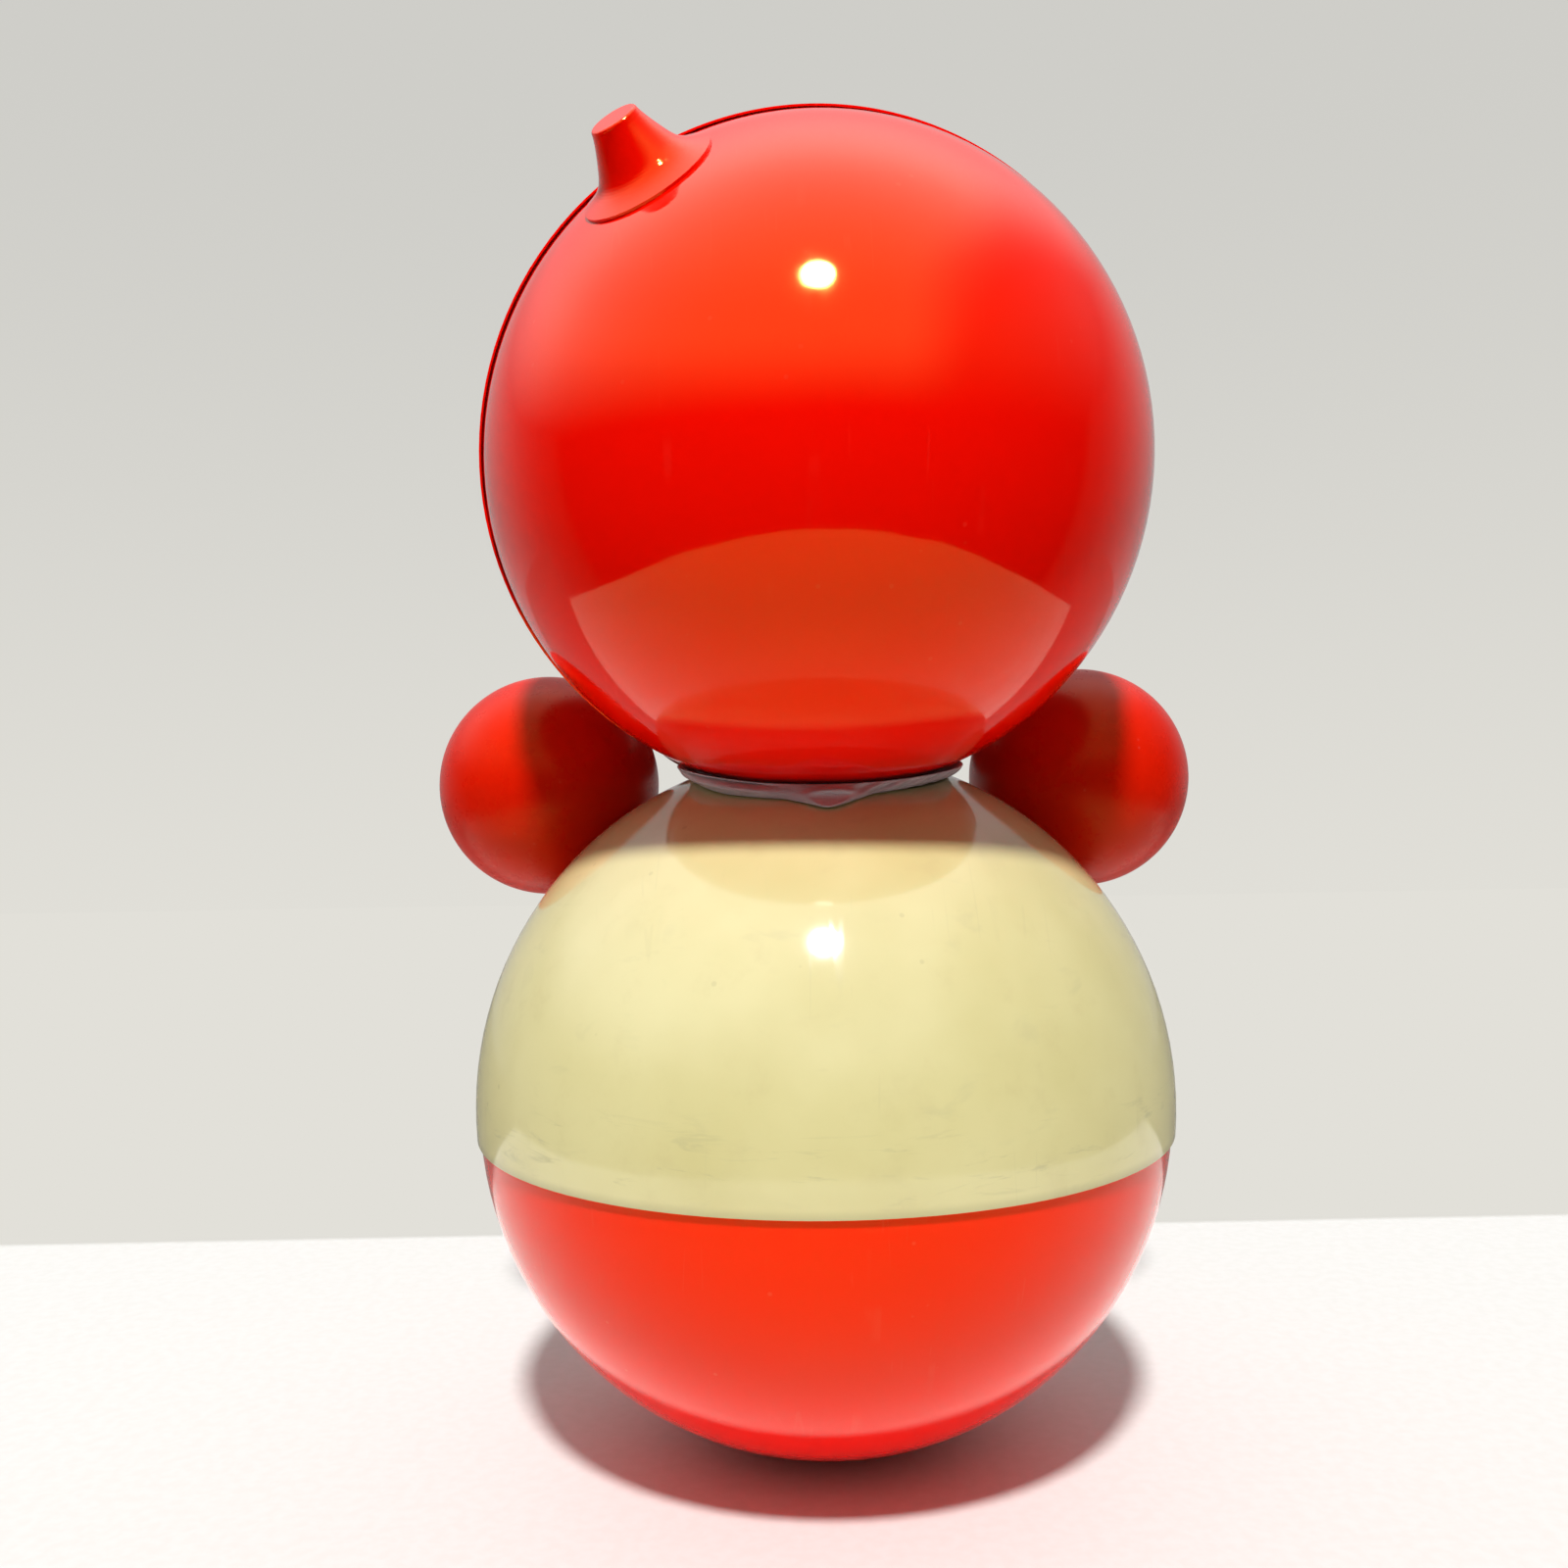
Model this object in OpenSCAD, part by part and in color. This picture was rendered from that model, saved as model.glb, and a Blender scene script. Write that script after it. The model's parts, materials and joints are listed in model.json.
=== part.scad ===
// Roly poly doll: a weighted round body with a chime inside, a ball head that turns on a neck tube,
// two ball arms that turn on plugs, and a ribbon tied round the neck.
// The doll stands on its bowl at the origin, +Z is up, and it faces -Y.

/* [Body] */
// Outer radius of the lower bowl
bowl_r = 76.7; // [72:0.1:82]
// How far the rim of the upper dome stands proud of the bowl
rim_step = 0.8; // [0.4:0.1:1.2]
// Wall of the body shells
shell_t = 2.2; // [1.8:0.1:2.8]
// Radius of the small flat at the pole of the bowl
foot_r = 10; // [6:0.5:14]
// Depth of the rim below the centre of the body
rim_drop = 5.6; // [3:0.1:8]
// Reach of the bowl's spigot above the rim
spigot_h = 6; // [4:0.5:8]
// Reach of the spigot's root below the rim
spigot_root = 4; // [3:0.5:6]
// Wall of the spigot
spigot_t = 2; // [1.6:0.1:2.6]

/* [Neck] */
// Backward lean of the neck and the head, in degrees
neck_lean = 6; // [0:0.5:8]
// Radius of the flat deck on top of the dome
deck_r = 28; // [27:0.5:29]
// Outer radius of the neck tube
neck_r = 15; // [13:0.5:15.5]
// Wall of the neck tube
neck_t = 2.5; // [2:0.1:3]
// Height of the gap between the deck and the head
neck_gap = 2.1; // [1.8:0.1:2.6]
// Radial width of the washer that the head rests on
neck_washer_w = 6.5; // [5:0.5:7]
// Height of the bush that carries the head
bush_h = 15; // [12:0.5:18]
// Wall of the bush
bush_t = 4; // [3:0.5:5]
// Radius of the bush's flange inside the head
bush_flange_r = 32; // [29:0.5:36]
// Thickness of the bush's flange
bush_flange_t = 2; // [1.5:0.1:3]
// Thickness of the clip that holds the head down
neck_clip_t = 1.2; // [0.8:0.1:1.6]
// Radial width of the clip
neck_clip_w = 5; // [4:0.5:7]
// Depth of the clip's groove in the neck tube
neck_groove = 1; // [0.6:0.1:1.2]
// Opening of the clip, in degrees
neck_clip_open = 50; // [30:5:80]
// Length of the neck tube above its clip
neck_end = 2; // [1.5:0.1:4]

/* [Head] */
// Outer radius of the back shell
head_r = 70.7; // [67:0.1:74]
// How far the front shell stands proud of the back shell
head_step = 0.9; // [0.8:0.1:1.4]
// Wall of the head shells
head_t = 2.2; // [1.8:0.1:2.8]
// Backward tilt of the head, so that the face looks up, in degrees
head_tilt = 9; // [0:0.5:14]
// Turn of the head to its left at rest, in degrees
head_turn = 4.7; // [0:0.1:20]
// Parting plane of the shells, behind the centre of the head
part_back = 3.8; // [2:0.1:8]
// Width of the open slot under the front shell's lip
lip_gap = 0.45; // [0.3:0.05:0.6]
// Reach of the lip over the back shell
lip_len = 3; // [2:0.5:5]
// Reach of the back shell's spigot inside the front shell
head_spigot_h = 6; // [4:0.5:9]
// Wall of that spigot
head_spigot_t = 1.8; // [1.4:0.1:2.4]
// Outer radius of the head where it is cut flat above the neck
head_cut_r = 26.3; // [25.6:0.1:27]

/* [Hood tip] */
// Lean of the tip from the crown of the head, in degrees
tip_lean = 36.7; // [32:0.1:46]
// Turn of the tip round the crown, from straight back to the left, in degrees
tip_round = 58.7; // [0:0.1:60]
// Radius of the tip's flange
tip_flange_r = 13.9; // [12.5:0.1:15]
// Thickness of the flange's edge
tip_flange_t = 0.6; // [0.5:0.1:1.2]
// Radius at the foot of the stub
tip_base_r = 9.9; // [8.5:0.1:11]
// Radius of the tip's end
tip_top_r = 4.9; // [4.6:0.1:6]
// Rounding of the end's edge
tip_edge_r = 0.6; // [0.3:0.1:1]
// Height of the tip above the head
tip_h = 11.3; // [9.5:0.1:14]
// How hollow the sides of the stub are: 1 is straight
tip_hollow = 1.2; // [1:0.1:2]
// How tightly the foot of the stub turns out into the flange
tip_turn_out = 12; // [8:1:20]
// Radius of the stem that holds the tip
tip_stem_r = 3.5; // [2.5:0.1:4.5]
// Outer radius of the push nut on the stem
tip_nut_r = 8; // [6:0.5:10]
// Thickness of the push nut
tip_nut_t = 1.5; // [1:0.1:2]

/* [Face] */
// Radius of the face opening in the front shell
face_open_r = 45; // [41:0.5:48]
// Depth of the face below the front shell
face_inset = 1.4; // [1:0.1:2]
// Wall of the face plate
face_t = 2.6; // [2.4:0.1:3.2]
// Width of the face plate's hidden flange
face_flange_w = 5; // [3:0.5:6]
// Radius of the rolled rim round the face
face_bead_r = 1.6; // [1.2:0.1:2.2]
// Radius of an eye's ball
eye_ball_r = 8.5; // [7:0.1:10]
// How far an eye stands proud of the face
eye_proud = 2.8; // [2:0.1:3.4]
// Radius of an eye's stem
eye_stem_r = 2; // [1.5:0.1:2.5]
// Length of an eye's stem behind the face
eye_stem_h = 3; // [2:0.5:4]
// Eyes to each side of the face's middle, in degrees
eye_side = 13.5; // [11:0.5:18]
// Eyes above the face's middle, in degrees
eye_up = 4; // [0:0.5:10]
// Radius of the nose
nose_r = 4.2; // [3:0.1:6]
// How far the nose stands proud of the face
nose_proud = 1.8; // [1:0.1:2.6]
// Nose below the face's middle, in degrees
nose_down = 5; // [2:0.5:8]
// Radius of the mouth's curve
mouth_r = 11; // [8:0.5:14]
// Radius of the mouth's groove
mouth_groove_r = 0.8; // [0.5:0.1:1.1]
// Spread of the mouth's curve, in degrees
mouth_spread = 86; // [50:2:120]
// Centre of the mouth's curve below the face's middle, in degrees
mouth_down = 7; // [4:0.5:10]

/* [Arms] */
// Radius of an arm's ball
arm_r = 26.7; // [24:0.1:29]
// Wall of an arm
arm_t = 2.2; // [1.8:0.1:3]
// Depth of the hollow where an arm seats on the dome
arm_dish = 2.7; // [2:0.1:4]
// Clear space between an arm and the head
arm_clear = 8.5; // [6:0.1:10]
// Arms turned forward from the sides, in degrees
arm_forward = 27.5; // [10:0.5:30]
// Running gap between an arm and the dome
arm_seat_gap = 0.3; // [0.2:0.05:0.5]
// Radius of an arm's plug
plug_r = 7; // [5.5:0.1:8]
// Radius of the hole through the plug
plug_bore_r = 4; // [3:0.1:4.5]
// Radius of the plug's flange inside the dome
plug_flange_r = 9.6; // [9:0.1:11]
// Thickness of that flange
plug_flange_t = 2.2; // [1.5:0.1:3]
// Radius of the shoulder boss inside the dome
shoulder_r = 11.5; // [10:0.1:13]
// Height of the shoulder boss below the dome's wall
shoulder_h = 3; // [2:0.5:5]

/* [Chime] */
// Radius of the clapper
clapper_r = 22; // [18:0.5:24]
// Thickness of the clapper
clapper_t = 7; // [5:0.5:10]
// Chamfer of the clapper's edge
clapper_chamfer = 1.5; // [0.5:0.1:2]
// Gap that the clapper swings through before it meets a rod
strike_gap = 12.4; // [10:0.1:14]
// Height of the clapper above the base plate, as a share of the room under its hinge
clapper_up_share = 0.568; // [0.5:0.004:0.62]
// Radius of a chime rod
rod_r = 1.6; // [1.2:0.1:2]
// Clear space between the longest rod and the dome
rod_clear = 30; // [22:1:38]
// Each next rod is shorter by this
rod_grade = 4; // [2:0.1:4.4]
// Number of rods
rod_count = 8; // [6:1:10]
// Radius of the collar at a rod's foot
rod_collar_r = 2.8; // [2.4:0.1:3.2]
// Height of that collar
rod_collar_h = 1.5; // [1:0.1:2.5]
// Thickness of the chime base
base_t = 5; // [4:0.5:6]
// Edge of the chime base outside its posts
base_edge = 2.4; // [2:0.1:3]
// Edge of the weight outside the chime base
weight_edge = 1.4; // [1:0.1:2]
// Radius of the bowl's screw boss
boss_r = 8; // [6:0.5:10]
// Top of the boss below the top of the weight
boss_drop = 1; // [0.5:0.1:2]
// Radius of the base screw
screw_r = 2.5; // [2:0.1:3]
// Reach of the base screw into the boss
screw_reach = 12; // [8:0.5:14]
// Radius of the base screw's head
screw_head_r = 4.8; // [4:0.1:6]
// Height of the base screw's head
screw_head_h = 3.2; // [2.5:0.1:4]
// Width of the slot in the base screw's head
screw_slot_w = 1.2; // [0.8:0.1:1.6]
// Depth of that slot
screw_slot_d = 1.4; // [0.8:0.1:1.8]
// Radius of the washer under the base screw
base_washer_r = 10; // [8:0.5:12]
// Thickness of that washer
base_washer_t = 1.2; // [0.8:0.1:2]

/* [Bridge] */
// Radius of a bridge post
post_r = 3; // [2.4:0.1:3.4]
// Radius of the studs at a post's ends
stud_r = 2; // [1.5:0.1:2.2]
// Clear space between a post and the rods
post_clear = 4; // [3:0.5:5]
// Clear space between the bridge and the dome
bridge_clear = 5; // [4:0.5:7]
// Width of the bridge bar
bar_w = 12; // [10:0.5:14]
// Thickness of the bridge bar
bar_t = 2.5; // [2:0.1:3]
// Width across the corners of a bridge nut
nut_w = 7.6; // [7:0.1:9]
// Height of a nut
nut_h = 3; // [2:0.1:4]
// End of a stud beyond its nut
stud_end = 0.8; // [0.4:0.1:1.5]
// Length of the lug under the bar
lug_h = 8; // [7:0.5:10]
// Thickness of the lug, and of the clapper rod's eye
lug_t = 2; // [1.6:0.1:2.2]
// Radius of the lug and of the eye
lug_r = 3.6; // [3.2:0.1:3.8]
// Radius of the hole in the lug and in the eye
lug_hole_r = 1.5; // [1.4:0.1:1.6]
// Radius of a loop of the link
link_ring_r = 3.4; // [3.3:0.1:4]
// Radius of the link's wire
link_wire_r = 0.9; // [0.7:0.05:1]
// Length of wire between the link's loops
link_shank = 2.8; // [2.4:0.1:4]
// Radius of the clapper's rod
hang_rod_r = 1.5; // [1.2:0.1:2]
// Radius of the collar above the clapper
hang_collar_r = 3; // [2.6:0.1:4]
// Height of that collar
hang_collar_h = 2; // [1:0.1:3]

/* [Ribbon] */
// Outer radius of the ribbon round the neck
ribbon_r = 29; // [28.6:0.1:30]
// Depth of the ribbon's folds
ribbon_fold = 0.9; // [0.4:0.1:1.1]
// How far the fold at the back hangs over the dome
ribbon_dip = 3.4; // [0:0.1:4]
// Clear space between the ribbon and the shells
ribbon_gap = 0.35; // [0.3:0.05:0.5]
// Height of the bow's loops
bow_h = 17; // [14:0.5:19]
// Reach of a loop from the knot's middle
bow_reach = 38.5; // [32:0.5:39]
// How far a loop's end lies forward of the knot
bow_forward = 19; // [17:0.5:22]
// How far a loop's end hangs below the middle of the crease
bow_droop = 4; // [2:0.5:5]
// Depth of a loop
bow_depth = 9; // [7:0.5:10]
// Width of the knot
knot_w = 11; // [9:0.5:13]
// Depth of the knot
knot_depth = 9; // [7:0.5:10]
// Width of the ribbon's tails
tail_w = 14; // [10:0.5:16]
// Thickness of a tail
tail_t = 1; // [0.8:0.1:1.4]
// Length of a tail down the dome
tail_len = 44; // [34:1:50]
// Sideways spread of a tail at its end
tail_spread = 15; // [10:0.5:20]
// Height of the waves along a tail
tail_wave = 1; // [0.5:0.1:1.5]

/* [Hidden] */
$fn = 96;
fine_sides = 400;
rods = [for (i = [1:rod_count]) str("chime_rod_", i)];

// Finishes
gloss_red = "#f2311a";
satin_red = "#d83a1c";
aged_cream = "#dcd3a0";
face_cream = "#f0dcc0";
eye_black = "#1c1714";
iron_grey = "#55565a";
zinc_grey = "#a9adb0";
bright_steel = "#c9ccd0";
nylon_white = "#ecebe4";
clapper_tan = "#c9b184";
ribbon_white = "#e6dedf";

// Fits: running between pieces that turn, cemented between shells, and the overrun of every cut
run_fit = 0.05;
cement_gap = 0.15;
overrun = 1;

// Body
dome_r = bowl_r + rim_step;
bowl_in_r = bowl_r - shell_t;
dome_in_r = dome_r - shell_t;
body_z = sqrt(pow(bowl_r, 2) - pow(foot_r, 2));
rim_z = body_z - rim_drop;

// Neck, along its axis from the centre of the body
neck_in_r = neck_r - neck_t;
deck_up = sqrt(pow(dome_r, 2) - pow(deck_r, 2));
head_cut_up = deck_up + neck_gap;
bush_up = head_cut_up + run_fit;
bush_r = neck_r + run_fit + bush_t;
neck_clip_up = bush_up + bush_h + cement_gap;
neck_top_up = neck_clip_up + neck_clip_t + neck_end;
neck_groove_r = neck_r - neck_groove;

// Head
head_up = head_cut_up + sqrt(pow(head_r, 2) - pow(head_cut_r, 2));
front_r = head_r + head_step;
head_in_r = head_r - head_t;
front_in_r = front_r - head_t;
head_spigot_r = front_in_r - cement_gap;
lip_end = part_back - lip_len;
face_r = front_r - face_inset;
face_in_r = face_r - face_t;
face_fit_r = face_open_r - cement_gap;
face_bead_y = sqrt(pow(front_r, 2) - pow(face_open_r, 2));
mouth_y = sqrt(pow(face_r, 2) - pow(mouth_r, 2));
bush_seat_r = head_spigot_r - head_spigot_t - cement_gap;
tip_top_z = head_r + tip_h;
tip_steps = 24;
tip_edge_steps = 6;
tip_nut_z = sqrt(pow(head_in_r, 2) - pow(tip_nut_r, 2)) - cement_gap - tip_nut_t;

// Arms: each ball seats on the dome and keeps clear of the leaning head, which sets how high it sits
arm_to_body = dome_r + arm_r - arm_dish;
arm_to_head = front_r + arm_r + arm_clear;
arm_towards_head = (pow(arm_to_body, 2) + pow(head_up, 2) - pow(arm_to_head, 2)) / (2 * arm_to_body);
head_rise = head_up * cos(neck_lean);
head_back = head_up * sin(neck_lean) * sin(arm_forward);
head_reach = sqrt(pow(head_rise, 2) + pow(head_back, 2));
arm_elevation = atan2(head_back, head_rise) + asin(arm_towards_head / head_reach);
arm_seat_r = dome_r + arm_seat_gap;
plug_end_r = dome_in_r - shoulder_h - arm_seat_gap;

// Chime, outwards from the clapper and upwards from the weight
rod_ring_r = clapper_r + strike_gap + rod_r;
post_x = rod_ring_r + rod_r + post_clear + post_r;
base_r = post_x + post_r + base_edge;
weight_r = bowl_in_r - cement_gap;
weight_z = body_z - sqrt(pow(weight_r, 2) - pow(base_r + weight_edge, 2));
boss_z = weight_z - boss_drop;
boss_foot_z = shell_t / 2;
base_z = weight_z + base_t;
base_washer_z = base_z + base_washer_t;
screw_pilot_r = screw_r + run_fit;
rod_turn = 180 / rod_count;
rod_top_z = body_z + sqrt(pow(dome_in_r, 2) - pow(rod_ring_r + rod_r, 2)) - rod_clear;
rod_long = rod_top_z - base_z;

// Bridge, down from the dome
bar_end_x = post_x + bar_w / 2;
bar_top_z = body_z + sqrt(pow(dome_in_r - bridge_clear, 2) - pow(bar_end_x, 2)) - nut_h - stud_end;
bar_z = bar_top_z - bar_t;
link_top_z = bar_z - lug_h + lug_r;
link_upper_z = link_top_z - link_ring_r;
link_lower_z = link_upper_z - 2 * link_ring_r - link_shank;
link_low_z = link_lower_z - link_ring_r;
clapper_z = base_z + clapper_up_share * (link_low_z - base_z);
clapper_top_z = clapper_z + clapper_t;

// Ribbon: counts of steps, sides and folds, and the shares that shape its folds
ribbon_in_r = neck_r + run_fit + neck_washer_w + ribbon_gap;
ribbon_steps = 96;
ribbon_turns = 7;
ribbon_waves = 11;
dip_sharpness = 40;
bow_steps = 14;
bow_sides = 16;
loop_folds = 5;
tail_steps = 12;
tail_waves = 400;
knot_y = ribbon_r + ribbon_fold + ribbon_gap + knot_depth / 2;
edge_share = 0.4;
dip_share = 0.6;
pinch_share = 0.42;
crimp_share = 0.16;
root_share = 0.3;
knot_share = 0.75;

// Height of the outside of the dome, and of the underside of the head, at a radius from the neck's axis
function dome_top(r) = r < deck_r ? deck_up : sqrt(pow(dome_r, 2) - pow(r, 2));
function head_under(r) = max(head_cut_up, head_up - sqrt(pow(front_r, 2) - pow(r, 2)));
function crease_mid(r) = (dome_top(r) + head_under(r)) / 2;
function crease_room(r) = (head_under(r) - dome_top(r)) / 2 - ribbon_gap;
function blend(a, b, t) = a + (b - a) * t;

// A solid skinned over rings of points; each ring turns anticlockwise, seen from the ring before
module loft(rings, closed = false) {
    n = len(rings[0]);
    m = len(rings);
    last = closed ? m - 1 : m - 2;
    sides = [for (i = [0:last], j = [0:n - 1])
        let (k = (j + 1) % n, next = ((i + 1) % m) * n, row = i * n)
        each [[row + j, row + k, next + k], [row + j, next + k, next + j]]];
    first_cap = [for (j = [1:n - 2]) [0, j + 1, j]];
    top = (m - 1) * n;
    last_cap = [for (j = [1:n - 2]) [top, top + j, top + j + 1]];
    caps = closed ? [] : concat(first_cap, last_cap);
    polyhedron([for (ring = rings) each ring], concat(sides, caps), convexity = 8);
}

// A hollow ball
module shell(outer_r, inner_r) {
    difference() {
        sphere(outer_r);
        sphere(inner_r);
    }
}

// A ring, or a length of tube, standing on the plane
module tube(outer_r, inner_r, h) {
    difference() {
        cylinder(r = outer_r, h = h);
        translate([0, 0, -overrun])
            cylinder(r = inner_r, h = h + 2 * overrun);
    }
}

// A slab across the body or the head, from one height to another
module slab(r, low, high) {
    translate([0, 0, low])
        cylinder(r = r + overrun, h = high - low);
}

// The neck's own frame: the centre of the body, with +Z along the leaning neck
module in_neck() {
    translate([0, 0, body_z])
        rotate([-neck_lean, 0, 0])
            children();
}

// The centre of the head, not yet turned or tilted
module at_head() {
    in_neck()
        translate([0, 0, head_up])
            children();
}

// The head's own frame: its face looks along -Y
module in_head() {
    at_head()
        rotate([0, 0, head_turn])
            rotate([-head_tilt, 0, 0])
                children();
}

// A frame on the face plate with +Z out of the face
module on_face(side, up) {
    in_head()
        rotate([0, 0, side])
            rotate([90 - up, 0, 0])
                children();
}

// A frame on the head with +Z along the tip
module at_tip() {
    in_head()
        rotate([0, 0, -tip_round])
            rotate([-tip_lean, 0, 0])
                children();
}

// A frame at the body's centre with +Z along an arm's plug; side is 1 for the left arm
module at_shoulder(side) {
    translate([0, 0, body_z])
        rotate([0, 0, side > 0 ? -arm_forward : 180 + arm_forward])
            rotate([0, 90 - arm_elevation, 0])
                children();
}

// Places for the rods, in a ring
module ring_of_rods() {
    for (i = [0:rod_count - 1])
        rotate([0, 0, rod_turn * (2 * i + 1)])
            translate([rod_ring_r, 0, 0])
                children();
}

// Places for the two bridge posts
module at_posts() {
    for (side = [-1, 1])
        translate([side * post_x, 0, 0])
            children();
}

// Bottom shell that the toy rocks on, with a spigot for the dome and a boss for the base screw
module lower_bowl() {
    color(gloss_red)
        difference() {
            union() {
                translate([0, 0, body_z])
                    intersection() {
                        shell(bowl_r, bowl_in_r);
                        slab(bowl_r, -body_z, -rim_drop);
                    }
                translate([0, 0, body_z])
                    intersection() {
                        shell(dome_in_r - cement_gap, dome_in_r - cement_gap - spigot_t);
                        slab(bowl_r, -rim_drop - spigot_root, -rim_drop + spigot_h);
                    }
                translate([0, 0, boss_foot_z])
                    cylinder(r = boss_r, h = boss_z - boss_foot_z);
            }
            translate([0, 0, boss_z - screw_reach - overrun])
                cylinder(r = screw_pilot_r, h = screw_reach + 2 * overrun);
        }
}

// Upper shell with the neck tube, the clip's groove and two bossed shoulder holes
module upper_dome() {
    color(aged_cream)
        difference() {
            union() {
                intersection() {
                    union() {
                        translate([0, 0, body_z])
                            shell(dome_r, dome_in_r);
                        in_neck()
                            translate([0, 0, deck_up - shell_t])
                                cylinder(r = deck_r - shell_t, h = shell_t + overrun);
                    }
                    translate([0, 0, body_z])
                        slab(dome_r, -rim_drop, dome_r + overrun);
                    in_neck()
                        slab(dome_r, -dome_r, deck_up);
                }
                in_neck()
                    translate([0, 0, deck_up - shell_t])
                        cylinder(r = neck_r, h = neck_top_up - deck_up + shell_t);
                for (side = [-1, 1])
                    at_shoulder(side)
                        intersection() {
                            sphere(dome_r - shell_t / 2);
                            translate([0, 0, dome_in_r - shoulder_h])
                                cylinder(r = shoulder_r, h = shoulder_h + shell_t);
                        }
            }
            in_neck() {
                translate([0, 0, deck_up - shell_t - overrun])
                    cylinder(r = neck_in_r, h = neck_top_up - deck_up + shell_t + 2 * overrun);
                translate([0, 0, neck_clip_up])
                    tube(neck_r + overrun, neck_groove_r, neck_clip_t);
            }
            for (side = [-1, 1])
                at_shoulder(side)
                    translate([0, 0, plug_end_r - overrun])
                        cylinder(r = plug_r + run_fit, h = dome_r - plug_end_r + 2 * overrun);
        }
}

// Lens of iron bedded in the bowl, which brings the toy upright
module ballast_weight() {
    color(iron_grey)
        difference() {
            translate([0, 0, body_z])
                intersection() {
                    sphere(weight_r);
                    slab(weight_r, -weight_r - overrun, weight_z - body_z);
                }
            translate([0, 0, -overrun])
                cylinder(r = boss_r + cement_gap, h = weight_z + 2 * overrun);
        }
}

// Plate on the weight that the rods and posts stand in
module chime_base() {
    color(zinc_grey)
        difference() {
            translate([0, 0, weight_z])
                cylinder(r = base_r, h = base_t);
            translate([0, 0, weight_z - overrun]) {
                cylinder(r = screw_pilot_r, h = base_t + 2 * overrun);
                ring_of_rods()
                    cylinder(r = rod_r + run_fit, h = base_t + 2 * overrun);
                at_posts()
                    cylinder(r = stud_r + run_fit, h = base_t + 2 * overrun);
            }
        }
}

// Washer under the base screw
module base_washer() {
    color(bright_steel)
        translate([0, 0, base_z])
            tube(base_washer_r, screw_pilot_r, base_washer_t);
}

// Slotted screw that clamps the plate and the weight to the bowl's boss
module base_screw() {
    shank_z = boss_z - screw_reach;
    color(bright_steel)
        difference() {
            union() {
                translate([0, 0, shank_z])
                    cylinder(r = screw_r, h = base_washer_z + screw_head_h / 2 - shank_z);
                translate([0, 0, base_washer_z])
                    cylinder(r = screw_head_r, h = screw_head_h);
            }
            translate([0, 0, base_washer_z + screw_head_h - screw_slot_d])
                translate([-screw_head_r - overrun, -screw_slot_w / 2, 0])
                    cube([2 * (screw_head_r + overrun), screw_slot_w, screw_slot_d + overrun]);
        }
}

// One rod of the graded ring, counted from the longest
module chime_rod(i) {
    color(bright_steel)
        rotate([0, 0, rod_turn * (2 * i - 1)])
            translate([rod_ring_r, 0, weight_z]) {
                cylinder(r = rod_r, h = base_t + rod_long - rod_grade * (i - 1));
                translate([0, 0, base_t])
                    cylinder(r = rod_collar_r, h = rod_collar_h);
            }
}

// Post with a stud at each end; side is 1 for the left post
module bridge_post(side) {
    color(bright_steel)
        translate([side * post_x, 0, 0]) {
            translate([0, 0, weight_z])
                cylinder(r = stud_r, h = bar_top_z + nut_h + stud_end - weight_z);
            translate([0, 0, base_z])
                cylinder(r = post_r, h = bar_z - base_z);
        }
}

module bridge_post_left() {
    bridge_post(1);
}

module bridge_post_right() {
    bridge_post(-1);
}

// A plate standing across X with a round end and a hole, for the link's loop
module lug(z_hole) {
    translate([0, 0, z_hole])
        rotate([0, 90, 0])
            translate([0, 0, -lug_t / 2])
                cylinder(r = lug_r, h = lug_t);
}

module lug_hole(z_hole) {
    translate([0, 0, z_hole])
        rotate([0, 90, 0])
            translate([0, 0, -lug_t / 2 - overrun])
                cylinder(r = lug_hole_r, h = lug_t + 2 * overrun);
}

// Bar across the posts, with the lug that the link hangs in
module bridge_bar() {
    color(zinc_grey)
        difference() {
            union() {
                translate([-post_x, -bar_w / 2, bar_z])
                    cube([2 * post_x, bar_w, bar_t]);
                at_posts()
                    translate([0, 0, bar_z])
                        cylinder(d = bar_w, h = bar_t);
                translate([-lug_t / 2, -lug_r, link_top_z])
                    cube([lug_t, 2 * lug_r, bar_z + bar_t / 2 - link_top_z]);
                lug(link_top_z);
            }
            at_posts()
                translate([0, 0, bar_z - overrun])
                    cylinder(r = stud_r + run_fit, h = bar_t + 2 * overrun);
            lug_hole(link_top_z);
        }
}

// Six-sided nut standing on the plane
module hex_nut(hole_r) {
    difference() {
        cylinder(d = nut_w, h = nut_h, $fn = 6);
        translate([0, 0, -overrun])
            cylinder(r = hole_r, h = nut_h + 2 * overrun);
    }
}

// The two nuts on top of the bar
module bridge_nuts() {
    color(bright_steel)
        at_posts()
            translate([0, 0, bar_top_z])
                hex_nut(stud_r + run_fit);
}

// One round loop of the link's wire
module wire_loop() {
    rotate_extrude()
        translate([link_ring_r, 0])
            circle(r = link_wire_r);
}

// Link of two loops at right angles, so that the clapper swings every way
module pendulum_link() {
    shank_low_z = link_lower_z + link_ring_r;
    color(bright_steel) {
        translate([0, 0, link_upper_z])
            rotate([90, 0, 0])
                wire_loop();
        translate([0, 0, link_lower_z])
            rotate([0, 90, 0])
                wire_loop();
        translate([0, 0, shank_low_z])
            cylinder(r = link_wire_r, h = link_shank);
    }
}

// Rod with an eye at its top and a collar above the clapper
module pendulum_rod() {
    rod_end_z = clapper_z - nut_h - stud_end;
    color(bright_steel)
        rotate([0, 0, 90])
            difference() {
                union() {
                    lug(link_low_z);
                    translate([0, 0, rod_end_z])
                        cylinder(r = hang_rod_r, h = link_low_z - lug_hole_r - rod_end_z - hang_rod_r / 2);
                    translate([0, 0, clapper_top_z])
                        cylinder(r = hang_collar_r, h = hang_collar_h);
                }
                lug_hole(link_low_z);
            }
}

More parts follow.
